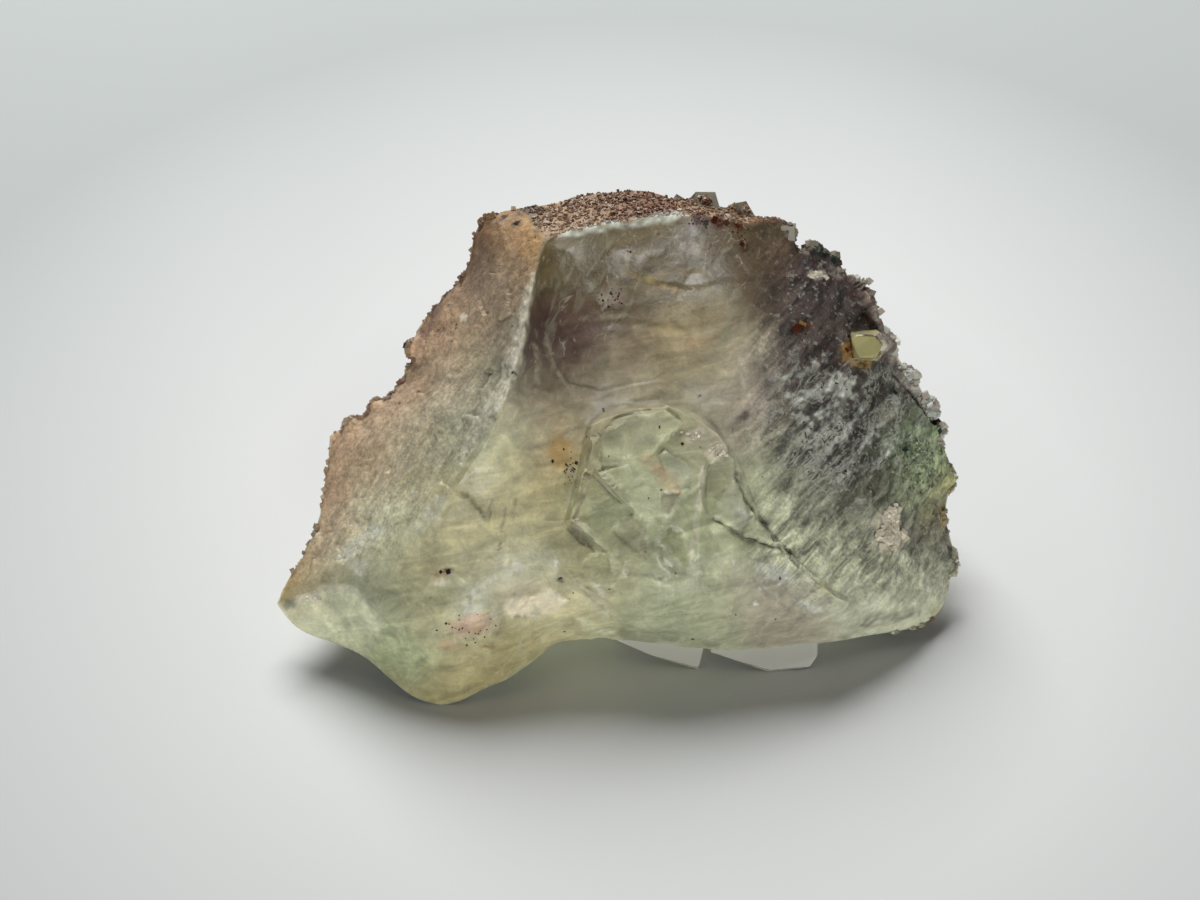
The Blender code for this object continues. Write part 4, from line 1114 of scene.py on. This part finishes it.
def add(tree, kind, inputs=None, **settings):
    """Adds a node with its settings, and sets or links its inputs."""
    node = tree.nodes.new(kind)
    for name, value in settings.items():
        setattr(node, name, value)
    for socket, value in (inputs or {}).items():
        if isinstance(value, bpy.types.NodeSocket):
            tree.links.new(value, node.inputs[socket])
        else:
            node.inputs[socket].default_value = value
    return node


def new_material(name):
    """A material with its nodes and its main shader."""
    material = bpy.data.materials.new(name)
    material.use_nodes = True
    tree = material.node_tree
    return material, tree, tree.nodes["Principled BSDF"]


def streaks(tree, place, degrees, length, width, detail, roughness, distortion):
    """Noise drawn out along one direction of the broken face; the sizes are in millimetres."""
    face = Matrix.Rotation(math.pi / 2 - VIEW_TILT, 3, "X")
    turn = (face @ Matrix.Rotation(math.radians(degrees), 3, "Z")).to_euler()
    scale = (length * MM, width * MM, 1.6 * width * MM)
    stretched = add(
        tree, "ShaderNodeMapping", {"Vector": place, "Rotation": turn, "Scale": scale},
        vector_type="TEXTURE",
    )
    return add(tree, "ShaderNodeTexNoise", {
        "Vector": stretched.outputs["Vector"], "Scale": 1.0, "Detail": detail, "Roughness": roughness,
        "Distortion": distortion,
    }).outputs["Fac"]


def shaded(tree, colour, pattern, span, light, share=1.0):
    """A colour times a light that goes from one value to another over a pattern's span, by its share."""
    level = add(tree, "ShaderNodeMapRange", {
        "Value": pattern, "From Min": span[0], "From Max": span[1], "To Min": light[0], "To Max": light[1],
    })
    lit = add(
        tree, "ShaderNodeVectorMath", {0: colour, "Scale": level.outputs["Result"]}, operation="SCALE"
    ).outputs["Vector"]
    return add(tree, "ShaderNodeMix", {0: share, 6: colour, 7: lit}, data_type="RGBA").outputs[2]


def covering(tree, pattern, span, strength, masks=()):
    """How much a layer covers, from nothing to its strength over a pattern's span, within the masks."""
    cover = add(tree, "ShaderNodeMapRange", {
        "Value": pattern, "From Min": span[0], "From Max": span[1], "To Min": 0.0, "To Max": strength,
    }).outputs["Result"]
    for mask in masks:
        cover = add(tree, "ShaderNodeMath", {0: cover, 1: mask}, operation="MULTIPLY").outputs["Value"]
    return cover


def covered(tree, colour, layer, pattern, span, strength, masks=()):
    """A colour under a layer that covers it in this way, and the layer's cover."""
    cover = covering(tree, pattern, span, strength, masks)
    mixer = add(tree, "ShaderNodeMix", {0: cover, 6: colour, 7: (*layer, 1.0)}, data_type="RGBA")
    return mixer.outputs[2], cover


def from_middle(tree, pattern):
    """How far a pattern is from its middle, which is nothing along thin lines."""
    offset = add(tree, "ShaderNodeMath", {0: pattern, 1: 0.5}, operation="SUBTRACT").outputs["Value"]
    return add(tree, "ShaderNodeMath", {0: offset}, operation="ABSOLUTE").outputs["Value"]


def stone_noises(tree):
    """The noises of the cloudy stone, by name."""
    place = add(tree, "ShaderNodeTexCoord").outputs["Object"]
    noises = {name: streaks(tree, place, *row) for name, row in DRAWN_OUT.items()}
    for name, (size, detail, roughness, distortion) in EVEN.items():
        noises[name] = add(tree, "ShaderNodeTexNoise", {
            "Vector": place, "Scale": 1 / (size * MM), "Detail": detail, "Roughness": roughness,
            "Distortion": distortion,
        }).outputs["Fac"]
    return noises


def clear_part(tree, colour, noises, rough, palette):
    """Clouds in the whole stone, and silk, sheen and thin veils where it is smooth and clear."""
    calm = covering(tree, rough, (0.7, 0.2), 1.0)
    clouded = covering(tree, noises["clouds"], (0.48, 0.6), 0.75)
    veils = from_middle(tree, noises["veils"])
    colour = shaded(tree, colour, noises["clouds"], (0.3, 0.7), (0.74, 1.26))
    colour = shaded(tree, colour, noises["silk"], (0.32, 0.68), (0.76, 1.24), calm)
    colour, _ = covered(tree, colour, palette.pale, noises["sheen"], (0.54, 0.68), 0.34, [calm])
    colour, _ = covered(tree, colour, palette.bone, veils, (0.015, 0.0), 1.0, [calm, clouded])
    return colour


def left_facet(tree, colour, noises, left):
    """The left facet's ribs, which run up to the crest, and its sugary skin."""
    colour = shaded(tree, colour, noises["ribs"], (0.34, 0.66), (0.92, 1.08), left)
    colour = shaded(tree, colour, noises["long ribs"], (0.36, 0.64), (0.9, 1.12), left)
    return shaded(tree, colour, noises["sugar"], (0.34, 0.66), (0.8, 1.2), left)


def right_flank(tree, colour, noises, right, lacy, palette):
    """The right flank's dark ground under pale lace and flecks, and the lace's cover."""
    colour = shaded(tree, colour, noises["ground"], (0.38, 0.62), (0.34, 1.36), right)
    colour = shaded(tree, colour, lacy, (0.0, 1.0), (1.0, LACE_GROUND))
    fans = covering(tree, noises["fans"], (0.47, 0.56), 0.8, [lacy])
    lines = from_middle(tree, noises["lace"])
    colour, lace = covered(tree, colour, palette.lace, lines, (0.08, 0.0), 1.0, [fans])
    colour, _ = covered(tree, colour, palette.lace, noises["flecks"], (0.56, 0.64), 0.5, [right])
    return colour, lace


def fine_relief(tree, noises, left, rough, lace):
    """The relief that is too fine for the mesh."""
    share = add(tree, "ShaderNodeMapRange", {"Value": rough, "To Min": 0.12, "To Max": 1.0})
    height = 0.0
    for pattern, part in (
        (noises["grains"], share.outputs["Result"]), (noises["sugar"], left), (lace, 0.2),
    ):
        height = add(
            tree, "ShaderNodeMath", {0: pattern, 1: part, 2: height}, operation="MULTIPLY_ADD"
        ).outputs["Value"]
    bump = add(tree, "ShaderNodeBump", {"Strength": 0.6, "Distance": 0.3 * MM, "Height": height})
    return bump.outputs["Normal"]


def cloudy_fluorite():
    """Cloudy fluorite, broken along its cleavage.

    Light goes in a little way and glows back out, so the stone looks waxy where it is smooth, sugary on
    its left facet and streaked with pale lace on its right flank. The finest grains, which are too small
    to show, are drawn 0.38 mm across.
    """
    palette = bpy.context.scene.fluorite_palette
    material, tree, shader = new_material("cloudy fluorite, broken")
    tint = add(tree, "ShaderNodeAttribute", attribute_name="tint").outputs["Color"]
    left, right, rough, lacy = (
        add(tree, "ShaderNodeAttribute", attribute_name=name).outputs["Fac"]
        for name in ("left", "right", "rough", "lace")
    )
    noises = stone_noises(tree)
    # Painted glow: the painted colours are made lighter by the glow gain, standing in for light that glows
    # through the stone
    painted_glow = add(tree, "ShaderNodeVectorMath", {0: tint, "Scale": PAINTED_GLOW_GAIN}, operation="SCALE")
    colour = clear_part(tree, painted_glow.outputs["Vector"], noises, rough, palette)
    colour = left_facet(tree, colour, noises, left)
    colour, lace = right_flank(tree, colour, noises, right, lacy, palette)
    colour = shaded(tree, colour, noises["grains"], (0.34, 0.66), (0.76, 1.24), rough)
    gloss = add(tree, "ShaderNodeMapRange", {"Value": rough, "To Min": 0.34, "To Max": 0.62})
    tree.links.new(colour, shader.inputs["Base Color"])
    tree.links.new(gloss.outputs["Result"], shader.inputs["Roughness"])
    tree.links.new(fine_relief(tree, noises, left, rough, lace), shader.inputs["Normal"])
    for name, value in {
        "IOR": FLUORITE_IOR,
        "Subsurface Weight": 0.85,
        "Subsurface Radius": (1.0, 1.0, 0.75),
        "Subsurface Scale": bpy.context.scene.fluorite_skin.glow_depth,
        "Coat Weight": 0.12,
        "Coat Roughness": 0.2,
        "Coat IOR": FLUORITE_IOR,
    }.items():
        shader.inputs[name].default_value = value
    return material


def crystal_crust():
    """Small fluorite crystals, grown: sharp and half clear, so they look waxy and a little shiny."""
    material, tree, shader = new_material("small fluorite crystals, grown")
    colour = add(tree, "ShaderNodeAttribute", attribute_name="tint").outputs["Color"]
    tree.links.new(colour, shader.inputs["Base Color"])
    shader.inputs["Roughness"].default_value = 0.32
    shader.inputs["IOR"].default_value = FLUORITE_IOR
    shader.inputs["Subsurface Weight"].default_value = 0.35
    shader.inputs["Subsurface Radius"].default_value = (1.0, 1.0, 1.0)
    shader.inputs["Subsurface Scale"].default_value = 0.4 * MM
    return material


def clear_fluorite(name, frost, tint, density, roughness):
    """Clear fluorite: seen through under a frosty face, with a colour that deepens with thickness."""
    material, tree, shader = new_material(name)
    shader.inputs["Base Color"].default_value = (*frost, 1.0)
    shader.inputs["Roughness"].default_value = roughness
    shader.inputs["IOR"].default_value = FLUORITE_IOR
    shader.inputs["Transmission Weight"].default_value = CLEARNESS
    depth = add(tree, "ShaderNodeVolumeAbsorption", {"Color": (*tint, 1.0), "Density": density})
    output = tree.nodes["Material Output"]
    tree.links.new(depth.outputs["Volume"], output.inputs["Volume"])
    return material


# Small grains


def lump_skin():
    """The finished lump's skin, read back from its mesh."""
    data = bpy.data.objects["fluorite_lump"].data
    points = np.empty(len(data.vertices) * 3)
    data.vertices.foreach_get("co", points)
    faces = np.empty(len(data.polygons) * 3, int)
    data.polygons.foreach_get("vertices", faces)
    read = {}
    for name in ("crystal", "outlook"):
        read[name] = np.empty(len(data.vertices))
        data.attributes[name].data.foreach_get("value", read[name])
    skin = Skin(to_lump(points.reshape(-1, 3)), faces.reshape(-1, 3), read["crystal"] > 0.5)
    skin.outlook = read["outlook"]
    tint = np.empty(len(data.vertices) * 4)
    data.attributes["tint"].data.foreach_get("color", tint)
    skin.tint = tint.reshape(-1, 4)[:, :3]
    return skin


def clear_of_outline(skin):
    """True for points that lie well inside the outline that the eye sees."""
    border = skin.spots[np.abs(skin.outlook) < BORDER_OUTLOOK][::2]
    tree = KDTree(len(border))
    for number, spot in enumerate(border):
        tree.insert((*spot, 0.0), number)
    tree.balance()
    return np.array([tree.find((*spot, 0.0))[2] > OUTLINE_CLEARANCE for spot in skin.spots])


def inside_blot(skin, across, up, half_length, half_width):
    """True for points inside an oval with a ragged border, on the side toward the eye."""
    x, y = ((skin.spots - (across, up)) / (half_length, half_width)).T
    return (np.hypot(x, y) < 1.0 + 0.5 * hum(skin.co, 1.2, 5.0)) & (skin.facing > 0.05)


def crust_beds(skin, crust):
    """Each bed: how many grains, where, smallest and largest edge, share of the skin's colour, colours."""
    across, up = skin.spots.T
    height = skin.co[:, 2]
    edge = (np.abs(skin.outlook) < BORDER_OUTLOOK) & (height > 1.0)
    edge &= np.hypot(*(skin.spots - YELLOW_SPOT).T) > YELLOW_CLEARANCE
    frosty = edge & (across > 28) & (up > 31) & (up < 46)
    far = (skin.outlook < -0.3) & (height > 5.0) & (across > -31) & clear_of_outline(skin)
    low, high = crust.small_grain / MM, crust.large_grain / MM
    return {
        "crest_crust": (
            crust.crest_grains, (skin.shelf > 0.4) | (edge & (up > 54)), low * 0.7, high * 0.5, 0.75,
            ["mauve", "umber", "tan", "mauve", "plum", "clay", "umber"],
        ),
        "right_crust": (
            crust.edge_grains, edge & (across > 19) & ((up > 16) | (across > 32)) & ~frosty, low, high, 0.5,
            ["lilac", "putty", "plum", "bone", "fog", "khaki"],
        ),
        "frost_crust": (
            crust.edge_grains // 2, frosty, low, high, 0.1, ["ice", "bone", "ice", "lilac"],
        ),
        "left_crust": (
            crust.rim_grains, edge & (across < -12) & (up > 15), low, high * 0.8, 0.5,
            ["clay", "umber", "tan", "sand", "plum"],
        ),
        "far_crust": (
            crust.far_grains, far, low * 2.2, high * 2.4, 0.4,
            ["plum", "lilac", "slate", "ink", "ash", "mauve"],
        ),
        "green_crust": (
            GREEN_GRAINS, inside_blot(skin, *GREEN_PATCH), low * 0.8, low * 1.6, 0.3,
            ["fern", "moss", "pine", "bottle", "putty"],
        ),
    }


def scattered(draw, skin, bed, count, small, large, share, colours):
    """Grains at random points of a bed: place, normal, three edges and colour."""
    palette = bpy.context.scene.fluorite_palette
    places = np.flatnonzero(bed)
    grains = []
    for _ in range(count):
        index = draw.choice(places)
        edge = small + (large - small) * draw.random() ** 2.4
        shape = Vector((edge * draw.uniform(0.8, 1.2), edge * draw.uniform(0.8, 1.2), edge))
        place, normal = Vector(skin.co[index]), Vector(skin.normal[index])
        tint = np.array(getattr(palette, draw.choice(colours)))
        grains.append((place, normal, shape, tint + share * (skin.tint[index] - tint)))
    return grains


def crest_crystals():
    """The larger crystals that stand up along the crest's outline."""
    tint = np.array(bpy.context.scene.fluorite_palette.ash)
    for across, up, toward, edge in OUTLINE_CUBES[:CREST_CUBES]:
        yield seen(across, up, toward), CREST_LEAN, Vector((edge, edge, edge)), tint


def flush_grain(draw, skin, across, up, size, height, colour):
    """A flat grain on the broken side, where the eye sees this spot of the drawing."""
    away = ((skin.spots - (across, up)) ** 2).sum(axis=1) + 1e3 * (skin.facing < 0.02)
    index = int(away.argmin())
    shape = Vector((size * draw.uniform(0.7, 1.3), size * draw.uniform(0.5, 1.1), height))
    tint = np.array(getattr(bpy.context.scene.fluorite_palette, colour))
    return Vector(skin.co[index]), Vector(skin.normal[index]), shape, tint


def grain_data(name, grains, draw):
    """One mesh of many small blocks, each sunk to half its height and turned its own way."""
    corners = [Vector((x, y, z)) for x in (-0.5, 0.5) for y in (-0.5, 0.5) for z in (-0.5, 0.5)]
    sides = [(0, 1, 3, 2), (4, 6, 7, 5), (0, 4, 5, 1), (2, 3, 7, 6), (0, 2, 6, 4), (1, 5, 7, 3)]
    points, faces, tints = [], [], []
    for number, (place, normal, shape, tint) in enumerate(grains):
        flat = shape.z < 0.5 * min(shape.x, shape.y)
        lean = 0.05 if flat else 0.5
        tilt = Euler((draw.gauss(0, lean), draw.gauss(0, lean), draw.uniform(0, math.tau)))
        turn = normal.to_track_quat("Z", "Y").to_matrix() @ tilt.to_matrix()
        for corner in corners:
            uneven = 1 + GRAIN_JITTER * draw.uniform(-1, 1)
            scaled = Vector(c * s for c, s in zip(corner, shape)) * uneven
            points.append(((place + turn @ scaled) - ROW_CENTRE) * MM)
        faces += [tuple(8 * number + k for k in side) for side in sides]
        tints += [np.minimum(1.0, tint * draw.uniform(0.84, 1.2))] * 8
    data = bpy.data.meshes.new(name)
    data.from_pydata(points, [], faces)
    store(data, "tint", tints)
    return data


# The stage


def add_camera(scene):
    """The eye that the drawing belongs to."""
    data = bpy.data.cameras.new("camera")
    data.sensor_width = SENSOR_WIDTH
    data.lens = SENSOR_WIDTH * EYE_DISTANCE / FRAME_WIDTH
    data.clip_start = 0.01
    camera = bpy.data.objects.new("camera", data)
    camera.location = (eye_place() - ROW_CENTRE) * MM
    camera.rotation_euler = (math.pi / 2 - VIEW_TILT, 0.0, 0.0)
    scene.collection.objects.link(camera)
    scene.camera = camera


def add_floor(stage):
    """A wide, flat floor of matt white card, with a pool of light painted round the stone that fades to
    painted shade far from it.
    """
    mesh = bmesh.new()
    bmesh.ops.create_grid(mesh, x_segments=1, y_segments=1, size=FLOOR_HALF)
    data = bpy.data.meshes.new("floor")
    mesh.to_mesh(data)
    mesh.free()
    floor = bpy.data.objects.new("floor", data)
    material, tree, shader = new_material("matt white card")
    place = add(tree, "ShaderNodeTexCoord").outputs["Object"]
    oval = add(tree, "ShaderNodeMapping", {"Vector": place, "Scale": FALL_OFF_SHAPE})
    away = add(
        tree, "ShaderNodeVectorMath", {0: oval.outputs["Vector"], 1: LAMP_SPOT}, operation="DISTANCE"
    )
    # Painted pool of light: the card is painted lighter round the lamp's spot and fades to painted shade
    # far from it
    painted_light_pool, _ = covered(tree, (*stage.floor, 1.0), stage.floor_painted_shade, away.outputs["Value"], FALL_OFF, 1.0)
    tree.links.new(painted_light_pool, shader.inputs["Base Color"])
    shader.inputs["Roughness"].default_value = 0.9
    data.materials.append(material)
    bpy.context.scene.collection.objects.link(floor)
    floor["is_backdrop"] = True


def add_lights(stage):
    """A softbox overhead and behind, a weak fill in front, and even light from the room."""
    for name, (place, size), power in (
        ("key_softbox", KEY_SOFTBOX, stage.key_power), ("front_fill", FRONT_FILL, stage.fill_power),
    ):
        data = bpy.data.lights.new(name, "AREA")
        data.shape = "DISK"
        data.size = size
        data.energy = power
        light = bpy.data.objects.new(name, data)
        light.location = place
        light.rotation_euler = (-place).to_track_quat("-Z", "Y").to_euler()
        bpy.context.scene.collection.objects.link(light)
    world = bpy.data.worlds.new("room")
    world.use_nodes = True
    background = world.node_tree.nodes["Background"]
    background.inputs["Color"].default_value = (*stage.room, 1.0)
    background.inputs["Strength"].default_value = stage.sky
    bpy.context.scene.world = world


# The add-on


class FLUORITE_OT_stage(bpy.types.Operator):
    """Set the camera, the floor and the soft lights"""

    bl_idname = "fluorite.stage"
    bl_label = "Set the stage"

    def execute(self, context):
        stage = context.scene.fluorite_stage
        context.scene.view_settings.view_transform = "Standard"
        add_camera(context.scene)
        add_floor(stage)
        add_lights(stage)
        return {"FINISHED"}


class FLUORITE_OT_lump(bpy.types.Operator):
    """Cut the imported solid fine, roughen it and paint it"""

    bl_idname = "fluorite.lump"
    bl_label = "Make the lump"

    def execute(self, context):
        look = context.scene.fluorite_skin
        longest = np.array([look.near_edge / MM, look.far_edge / MM, CRYSTAL_EDGE])
        points, faces, kinds = cut_fine(*packed_mesh(), longest)
        crystal = np.bincount(faces[kinds == CRYSTAL].ravel(), minlength=len(points)) > 0
        crystal &= ~on_outline_cubes(points)
        skin = Skin(smoothed(points, faces, kinds), faces, crystal)
        colour = paint(skin)
        data = lump_data(skin)
        store(data, "tint", colour)
        rough = skin.roughness(*GLOSS_ROUGHNESS)
        store(data, "rough", np.where(skin.near > 0.5, rough, FAR_ROUGHNESS))
        for name in ("left", "right", "lace", "crystal"):
            store(data, name, getattr(skin, name))
        store(data, "outlook", skin.facing)
        data.materials.append(cloudy_fluorite())
        lump = link_object("fluorite_lump", data)
        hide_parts(NODE)
        return {"FINISHED"}


class FLUORITE_OT_corners(bpy.types.Operator):
    """Set the two clear corners and the yellow crystal into the stone"""

    bl_idname = "fluorite.corners"
    bl_label = "Set the clear pieces"

    def execute(self, context):
        palette = context.scene.fluorite_palette
        pale = clear_fluorite(
            "clear fluorite, cleaved", palette.corner_frost, palette.corner_depth, CORNER_DENSITY,
            CORNER_ROUGHNESS,
        )
        yellow = clear_fluorite(
            "clear yellow fluorite, grown", palette.yellow_frost, palette.yellow_depth, YELLOW_DENSITY,
            YELLOW_ROUGHNESS,
        )
        names = ["clear_corner_left", "clear_corner_right", "yellow_crystal"]
        for name, mesh, material in zip(names, clear_bodies(), [pale, pale, yellow]):
            bmesh.ops.bevel(mesh, geom=mesh.edges, offset=CHAMFER, segments=1, affect="EDGES")
            for vert in mesh.verts:
                vert.co = (vert.co - ROW_CENTRE) * MM
            data = bpy.data.meshes.new(name)
            mesh.to_mesh(data)
            mesh.free()
            data.materials.append(material)
            link_object(name, data)
        return {"FINISHED"}


class FLUORITE_OT_crust(bpy.types.Operator):
    """Grow small crystals along the edges, over the crest and on the far side"""

    bl_idname = "fluorite.crust"
    bl_label = "Grow the crust"

    def execute(self, context):
        skin = lump_skin()
        beds = crust_beds(skin, context.scene.fluorite_crust)
        material = crystal_crust()
        for number, (name, (count, bed, small, large, share, colours)) in enumerate(beds.items()):
            draw = random.Random(CRUST_SEED + number)
            grains = scattered(draw, skin, bed, count, small, large, share, colours)
            if name == "crest_crust":
                grains += crest_crystals()
            obj = link_object(name, grain_data(name, grains, draw))
            obj.data.materials.append(material)
        return {"FINISHED"}


class FLUORITE_OT_inclusions(bpy.types.Operator):
    """Set the chalky nodules and the dark specks into the skin"""

    bl_idname = "fluorite.inclusions"
    bl_label = "Set the specks"

    def execute(self, context):
        skin = lump_skin()
        draw = random.Random(SPECK_SEED)
        specks = []
        for across, up, size, colour in SPECKS:
            specks.append(flush_grain(draw, skin, across, up, size, SPECK_HEIGHT, colour))
        for across, up, length, width, count, colour in SPECK_CLOUDS:
            for _ in range(count):
                x = across + length * draw.gauss(0, 0.5)
                y = up + width * draw.gauss(0, 0.5)
                size = draw.uniform(*TINY_SPECK)
                specks.append(flush_grain(draw, skin, x, y, size, SPECK_HEIGHT, colour))
        nodules = []
        for across, up, length, width, count, size in NODULES:
            for _ in range(count):
                x = across + length * draw.gauss(0, 0.45)
                y = up + width * draw.gauss(0, 0.45)
                edge = size * draw.uniform(0.6, 1.2)
                nodules.append(flush_grain(draw, skin, x, y, edge, edge * 0.8, "cream"))
        material = crystal_crust()
        for name, grains in (("dark_specks", specks), ("chalky_nodules", nodules)):
            obj = link_object(name, grain_data(name, grains, draw))
            obj.data.materials.append(material)
        return {"FINISHED"}


class FLUORITE_PT_panel(bpy.types.Panel):
    """Settings and makers of the fluorite specimen."""

    bl_label = "Fluorite"
    bl_idname = "FLUORITE_PT_panel"
    bl_space_type = "VIEW_3D"
    bl_region_type = "UI"
    bl_category = "Fluorite"

    def draw(self, context):
        for operator in OPERATORS:
            self.layout.operator(operator.bl_idname)
        for key, group in GROUPS.items():
            box = self.layout.box()
            for name in group.__annotations__:
                box.prop(getattr(context.scene, key), name)


GROUPS = {
    "fluorite_palette": FluoritePalette,
    "fluorite_skin": FluoriteSkin,
    "fluorite_crust": FluoriteCrust,
    "fluorite_stage": FluoriteStage,
}
OPERATORS = [
    FLUORITE_OT_stage, FLUORITE_OT_lump, FLUORITE_OT_corners, FLUORITE_OT_crust,
    FLUORITE_OT_inclusions,
]


def register():
    for group in [*GROUPS.values(), *OPERATORS, FLUORITE_PT_panel]:
        bpy.utils.register_class(group)
    for key, group in GROUPS.items():
        setattr(bpy.types.Scene, key, PointerProperty(type=group))


def unregister():
    for key in GROUPS:
        delattr(bpy.types.Scene, key)
    for group in [FLUORITE_PT_panel, *OPERATORS, *GROUPS.values()]:
        bpy.utils.unregister_class(group)


def main():
    register()
    bpy.ops.fluorite.stage()
    bpy.ops.fluorite.lump()
    bpy.ops.fluorite.corners()
    bpy.ops.fluorite.crust()
    bpy.ops.fluorite.inclusions()
    boxes = {"cad": CAD_BOX, "visual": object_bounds()}
    {name: [list(corner) for corner in box] for name, box in boxes.items()}


if __name__ == "__main__":
    main()
